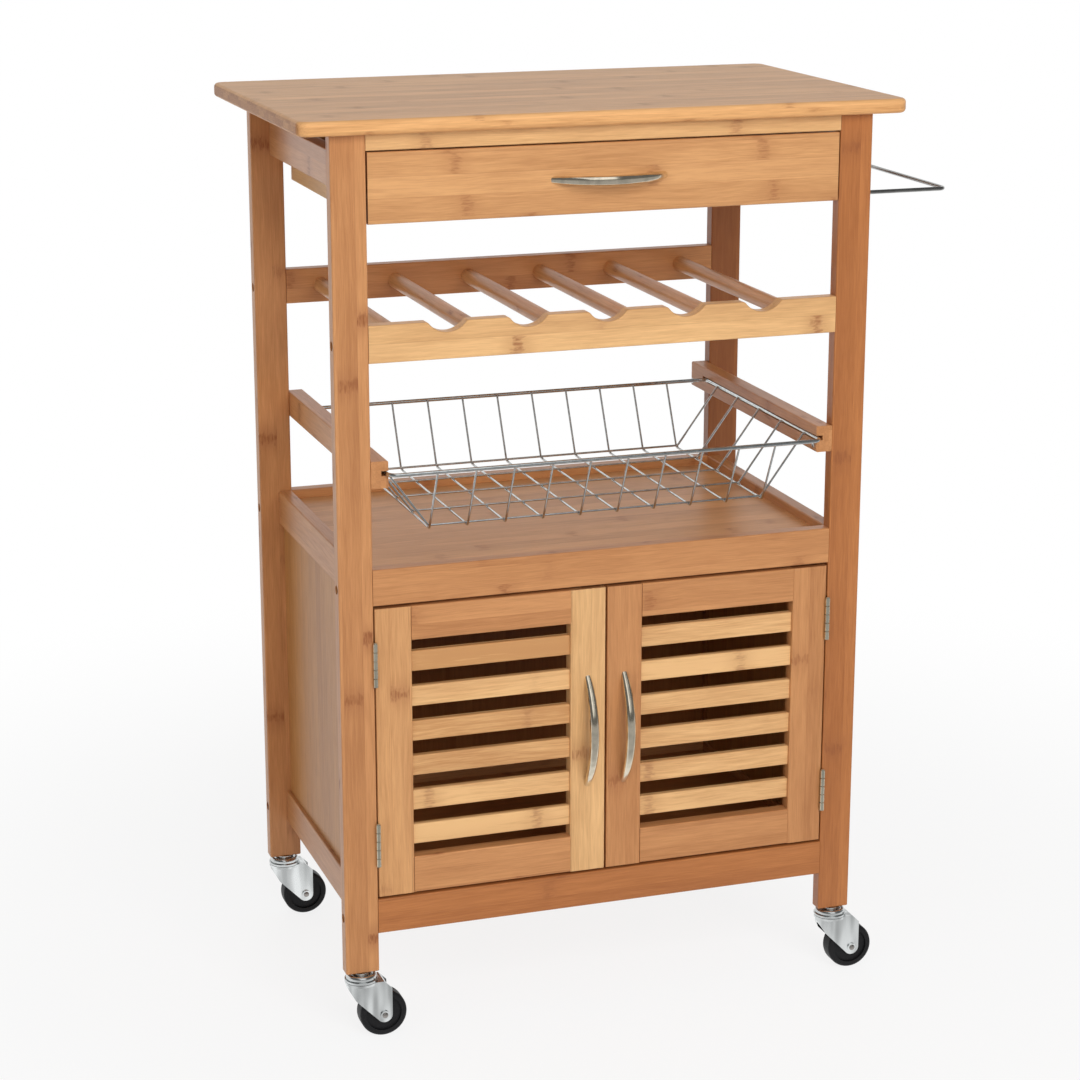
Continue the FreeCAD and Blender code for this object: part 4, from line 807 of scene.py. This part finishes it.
class CABINET_OT_hinge_screws(bpy.types.Operator):
    """Set three low screw heads on every hinge leaf"""

    bl_idname = "cabinet.hinge_screws"
    bl_label = "Hinge screws"

    def execute(self, context):
        sizes = context.scene.cabinet_fixings
        margin = sizes.hinge_screw_margin
        tree = cross_screw()
        steel = bpy.data.materials["Hinge plate"]
        shape = {"head_width": 0.0052, "head_height": 0.00032, "slot_width": 0.0008, "slot_depth": 0.0003}
        on_frame = []
        for side, door in zip(SIDES, DOORS):
            low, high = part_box(door + "_hinge_stile")
            gap = high[0] if side > 0 else low[0]
            y = low[1] + sizes.hinge_screw_inset
            on_door = []
            lowest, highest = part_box(door + "_hinge_leaves")
            for base in (lowest[2], highest[2] - sizes.hinge_length):
                end = base + sizes.hinge_length
                for z in evenly(base + margin, end - margin, SCREWS_PER_LEAF):
                    on_door.append(((gap, y, z), (side, 0.0, 0.0)))
                    on_frame.append(((gap + side * sizes.hinge_gap, y, z), (-side, 0.0, 0.0)))
            grow(door + "_hinge_screws", door, "hinge_steel", tree, on_door, seed=5, finish=steel, **shape)
        grow("frame_hinge_screws", "frame", "hinge_steel", tree, on_frame, seed=7, finish=steel, **shape)
        return {"FINISHED"}


class CABINET_OT_back_screws(bpy.types.Operator):
    """Set the screws that hold the handles, the catch and the basket runners"""

    bl_idname = "cabinet.back_screws"
    bl_label = "Handle, catch and runner screws"

    def execute(self, context):
        sizes = context.scene.cabinet_fixings
        tree = cross_screw()
        steel = bpy.data.materials["Zinc plate"]
        reach = sizes.handle_screws / 2
        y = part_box("drawer_front")[1][1]
        x = middle("drawer_handle", "X")
        z = middle("drawer_handle", "Z")
        heads = [((x + side * reach, y, z), BACK) for side in SIDES]
        grow("drawer_handle_screws", "drawer", "bolt_steel", tree, heads, seed=11, finish=steel)
        for door in DOORS:
            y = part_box(door + "_meeting_stile")[1][1]
            x = middle(door + "_handle", "X")
            z = middle(door + "_handle", "Z")
            heads = [((x, y, z + side * reach), BACK) for side in SIDES]
            grow(door + "_handle_screws", door, "bolt_steel", tree, heads, seed=13, finish=steel)
        low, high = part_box("door_catch")
        z = low[2] + sizes.catch_screw_lift
        inset = sizes.catch_screw_inset
        heads = [((x, high[1], z), BACK) for x in (low[0] + inset, high[0] - inset)]
        low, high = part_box("basket_runners")
        z = low[2] + sizes.runner_screw_lift
        for leg in ("leg_front_left", "leg_rear_left"):
            y = middle(leg, "Y")
            heads.append(((low[0] + sizes.runner_width, y, z), (1.0, 0.0, 0.0)))
            heads.append(((high[0] - sizes.runner_width, y, z), (-1.0, 0.0, 0.0)))
        grow("frame_screws", "frame", "bolt_steel", tree, heads, seed=17, finish=steel,
             head_width=0.0062, head_height=0.0009, slot_width=0.001, slot_depth=0.0006)
        return {"FINISHED"}


class CABINET_OT_basket_welds(bpy.types.Operator):
    """Set a weld bead wherever the basket's wires cross or meet the rim"""

    bl_idname = "cabinet.basket_welds"
    bl_label = "Basket welds"

    def execute(self, context):
        sizes = context.scene.cabinet_fixings
        wire = sizes.basket_wire
        rim_low, rim_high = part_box("basket_rim")
        long_low, long_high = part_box("basket_long_wires")
        cross_low, cross_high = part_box("basket_cross_wires")
        columns = evenly(long_low[0] + wire / 2, long_high[0] - wire / 2, LONG_WIRES)
        rows = evenly(cross_low[1] + wire / 2, cross_high[1] - wire / 2, CROSS_WIRES)
        floor = (long_low[2] + wire + cross_low[2]) / 2
        rim_z = (rim_low[2] + rim_high[2]) / 2 - sizes.weld_drop
        rim = rim_high[2] - rim_low[2]
        places = [((x, y, floor), UP) for x in columns for y in rows]
        for x in columns:
            places += [((x, rim_low[1] + rim, rim_z), UP), ((x, rim_high[1] - rim, rim_z), UP)]
        for y in rows:
            places += [((rim_low[0] + rim, y, rim_z), UP), ((rim_high[0] - rim, y, rim_z), UP)]
        chrome = bpy.data.materials["Bright chrome"]
        grow("basket_welds", "basket", "chrome_wire", weld_bead(), places, seed=19, finish=chrome)
        return {"FINISHED"}


class CABINET_OT_caster_rivets(bpy.types.Operator):
    """Close both ends of every caster's axle with a domed rivet"""

    bl_idname = "cabinet.caster_rivets"
    bl_label = "Caster rivets"

    def execute(self, context):
        out = context.scene.cabinet_fixings.axle_end
        tree = dome_rivet()
        steel = bpy.data.materials["Bolt steel"]
        for corner in CORNERS:
            x, y, z = (middle("caster_wheel_" + corner, axis) for axis in AXES)
            places = [((x, y + side * out, z), (0.0, side, 0.0)) for side in SIDES]
            grow("axle_rivets_" + corner, "fork_" + corner, "bolt_steel", tree, places,
                 seed=23, finish=steel)
        return {"FINISHED"}


class CABINET_OT_race_rings(bpy.types.Operator):
    """Round off the upper race of every caster"""

    bl_idname = "cabinet.race_rings"
    bl_label = "Caster races"

    def execute(self, context):
        sizes = context.scene.cabinet_fixings
        places = []
        for corner in CORNERS:
            leg = "leg_" + corner
            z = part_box(leg)[0][2] - sizes.race_drop
            places.append(((middle(leg, "X"), middle(leg, "Y"), z), UP))
        zinc = bpy.data.materials["Bright zinc"]
        grow("race_rings", "frame", "zinc_steel", race_ring(), places, seed=29, finish=zinc,
             ring_width=sizes.race_ring)
        return {"FINISHED"}


# Stage

# Name, place in metres, width in metres and power in watts of every soft light, and where they all look.
LIGHTS = (
    ("Key light", (0.1, -3.5, 2.2), 2.2, 88.0),
    ("Side fill", (-2.6, -1.8, 1.6), 1.8, 12.0),
    ("Back fill", (0.8, 3.0, 1.3), 1.8, 18.0),
)
LIT_POINT = (0.0, 0.0, 0.5)

# Strength of the soft light from all round, and of the dim room that metal mirrors.
FILL_STRENGTH = 0.36
ROOM_STRENGTH = 0.15

# Window in that room and the white surround behind the cabinet: where each starts and where it is full, as
# parts of a direction of length one.
WINDOW_SIDE = (0.37, 0.27)
WINDOW_FOOT = (0.12, 0.26)
WINDOW_FRONT = (0.0, -0.2)
SURROUND_FRONT = (-0.1, 0.5)
SURROUND_TOP = (0.75, 0.3)

# Floor: half its width, its two greys, where the shadow fades out and how white it is at the cabinet, and
# where its mirror image in metal darkens towards the front and by how much. Lengths are in metres.
FLOOR_HALF = 8.0
FLOOR_GREYS = (0.86, 0.9)
SHADOW_FADE = (0.4, 1.4)
FLOOR_WHITE = 0.84
FLOOR_FRONT = (-0.1, -0.5)
FLOOR_DIM = 0.6

# Camera: lens and sensor in millimetres, place in metres, and its turn and tilt in radians.
CAMERA_LENS = 90.6
CAMERA_SENSOR = 36.0
CAMERA_PLACE = (-0.9149, -2.5694, 1.2074)
CAMERA_YAW = 0.3278
CAMERA_PITCH = -0.2718


def look_along(item, way):
    """Turns a light or the camera to look along a direction."""
    item.rotation_euler = way.to_track_quat("-Z", "Y").to_euler()


def light_panel(name, spot, size, power):
    """A square soft light that looks at the cabinet and leaves no glare."""
    lamp = bpy.data.lights.new(name, "AREA")
    lamp.shape = "SQUARE"
    lamp.size = size
    lamp.energy = power
    panel = bpy.data.objects.new(name, lamp)
    panel.location = spot
    panel.visible_glossy = False
    look_along(panel, Vector(LIT_POINT) - Vector(spot))
    bpy.context.scene.collection.objects.link(panel)


def studio_world():
    """A white surround, soft fill light and, mirrored in metal, a dim room in front with a tall window."""
    world = bpy.data.worlds.new("Studio")
    world.use_nodes = True
    tree = world.node_tree
    path = tree.nodes.new("ShaderNodeLightPath").outputs
    way = parts(tree, tree.nodes.new("ShaderNodeTexCoord").outputs["Generated"])
    back = ramp(tree, way["Y"], *SURROUND_FRONT)
    behind = calc(tree, "MULTIPLY", back, ramp(tree, way["Z"], *SURROUND_TOP))
    front = ramp(tree, way["Y"], *WINDOW_FRONT)
    upright = calc(tree, "MULTIPLY", ramp(tree, way["Z"], *WINDOW_FOOT), front)
    aside = ramp(tree, calc(tree, "ABSOLUTE", way["X"]), *WINDOW_SIDE)
    bright = calc(tree, "MAXIMUM", behind, calc(tree, "MULTIPLY", aside, upright))
    glow = ramp(tree, bright, 0.0, 1.0, ROOM_STRENGTH, 1.0)
    mirrored = calc(tree, "MULTIPLY", path["Is Glossy Ray"], glow)
    seen = calc(tree, "MAXIMUM", path["Is Camera Ray"], path["Is Transmission Ray"])
    direct = calc(tree, "MAXIMUM", seen, path["Is Glossy Ray"])
    soft = calc(tree, "MULTIPLY", calc(tree, "SUBTRACT", 1.0, direct), FILL_STRENGTH)
    strength = calc(tree, "ADD", calc(tree, "MAXIMUM", seen, mirrored), soft)
    feed(tree, tree.nodes["Background"].inputs["Strength"], strength)
    tree.nodes["Background"].inputs["Color"].default_value = WHITE
    bpy.context.scene.world = world


def floor_material():
    """A pale matt floor that keeps the shadow, fades into the surround and is mirrored white in metal."""
    material, tree, shader, place = new_material("Pale floor")
    spot = place.outputs["Object"]
    greys = [(grey, grey, grey, 1.0) for grey in FLOOR_GREYS]
    feed(tree, shader.inputs["Base Color"], blend(tree, noise(tree, spot, scale=3.0), *greys))
    shader.inputs["Roughness"].default_value = 0.9
    shader.inputs["Specular IOR Level"].default_value = 0.0
    path = tree.nodes.new("ShaderNodeLightPath").outputs
    away = add(tree, "ShaderNodeVectorMath", {0: spot}, operation="LENGTH").outputs["Value"]
    white = ramp(tree, away, *SHADOW_FADE, FLOOR_WHITE, 1.0)
    front = ramp(tree, parts(tree, spot)["Y"], *FLOOR_FRONT, 0.0, FLOOR_DIM)
    dim = calc(tree, "MULTIPLY", path["Is Glossy Ray"], front)
    glow = add(tree, "ShaderNodeEmission", {"Color": WHITE, "Strength": calc(tree, "SUBTRACT", 1.0, dim)})
    seen = calc(tree, "MAXIMUM", path["Is Camera Ray"], path["Is Transmission Ray"])
    bare = calc(tree, "MAXIMUM", calc(tree, "MULTIPLY", seen, white), path["Is Glossy Ray"])
    mix = add(tree, "ShaderNodeMixShader", {0: bare, 1: shader.outputs[0], 2: glow.outputs[0]})
    feed(tree, tree.nodes["Material Output"].inputs["Surface"], mix.outputs[0])
    return material


def studio_floor():
    """A wide flat floor under the casters."""
    mesh = bpy.data.meshes.new("Floor")
    corners = [(x * FLOOR_HALF, y * FLOOR_HALF, 0.0) for x, y in ((-1, -1), (1, -1), (1, 1), (-1, 1))]
    mesh.from_pydata(corners, [], [(0, 1, 2, 3)])
    mesh.materials.append(floor_material())
    floor = bpy.data.objects.new("Floor", mesh)
    bpy.context.scene.collection.objects.link(floor)


def photo_camera():
    """A long lens in front of the left corner, a little above the worktop."""
    lens = bpy.data.cameras.new("Camera")
    lens.sensor_width = CAMERA_SENSOR
    lens.lens = CAMERA_LENS
    camera = bpy.data.objects.new("Camera", lens)
    camera.location = CAMERA_PLACE
    level = math.cos(CAMERA_PITCH)
    look_along(camera, Vector((
        math.sin(CAMERA_YAW) * level, math.cos(CAMERA_YAW) * level, math.sin(CAMERA_PITCH))))
    bpy.context.scene.collection.objects.link(camera)
    bpy.context.scene.camera = camera


class CABINET_OT_stage(bpy.types.Operator):
    """Set the floor, the lights, the white surround and the camera"""

    bl_idname = "cabinet.stage"
    bl_label = "Stage"

    def execute(self, context):
        studio_floor()
        studio_world()
        for light in LIGHTS:
            light_panel(*light)
        photo_camera()
        context.scene.view_settings.view_transform = "Standard"
        return {"FINISHED"}


# Add-on

class CABINET_PT_panel(bpy.types.Panel):
    """Buttons and sizes of the kitchen cabinet"""

    bl_idname = "CABINET_PT_panel"
    bl_label = "Kitchen cabinet"
    bl_space_type = "VIEW_3D"
    bl_region_type = "UI"
    bl_category = "Kitchen cabinet"

    def draw(self, context):
        scene = context.scene
        for group in (scene.cabinet_bamboo, scene.cabinet_metal, scene.cabinet_fixings):
            box = self.layout.box()
            for name in group.__annotations__:
                box.prop(group, name)
        for step in STEPS:
            self.layout.operator(step.bl_idname)


GROUPS = (BambooLooks, MetalLooks, FixingSizes)
STEPS = (
    CABINET_OT_bamboo, CABINET_OT_metal, CABINET_OT_frame_bolts, CABINET_OT_hinge_screws,
    CABINET_OT_back_screws, CABINET_OT_basket_welds, CABINET_OT_caster_rivets,
    CABINET_OT_race_rings, CABINET_OT_stage)


def register():
    """Register every class and hang the settings on the scene."""
    for kind in (*GROUPS, *STEPS, CABINET_PT_panel):
        bpy.utils.register_class(kind)
    bpy.types.Scene.cabinet_bamboo = PointerProperty(type=BambooLooks)
    bpy.types.Scene.cabinet_metal = PointerProperty(type=MetalLooks)
    bpy.types.Scene.cabinet_fixings = PointerProperty(type=FixingSizes)


def unregister():
    """Take the settings and the classes away again."""
    del bpy.types.Scene.cabinet_fixings
    del bpy.types.Scene.cabinet_metal
    del bpy.types.Scene.cabinet_bamboo
    for kind in reversed((*GROUPS, *STEPS, CABINET_PT_panel)):
        bpy.utils.unregister_class(kind)


def main():
    """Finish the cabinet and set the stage."""
    register()
    bpy.ops.cabinet.bamboo()
    bpy.ops.cabinet.metal()
    bpy.ops.cabinet.frame_bolts()
    bpy.ops.cabinet.hinge_screws()
    bpy.ops.cabinet.back_screws()
    bpy.ops.cabinet.basket_welds()
    bpy.ops.cabinet.caster_rivets()
    bpy.ops.cabinet.race_rings()
    bpy.ops.cabinet.stage()


if __name__ == "__main__":
    main()
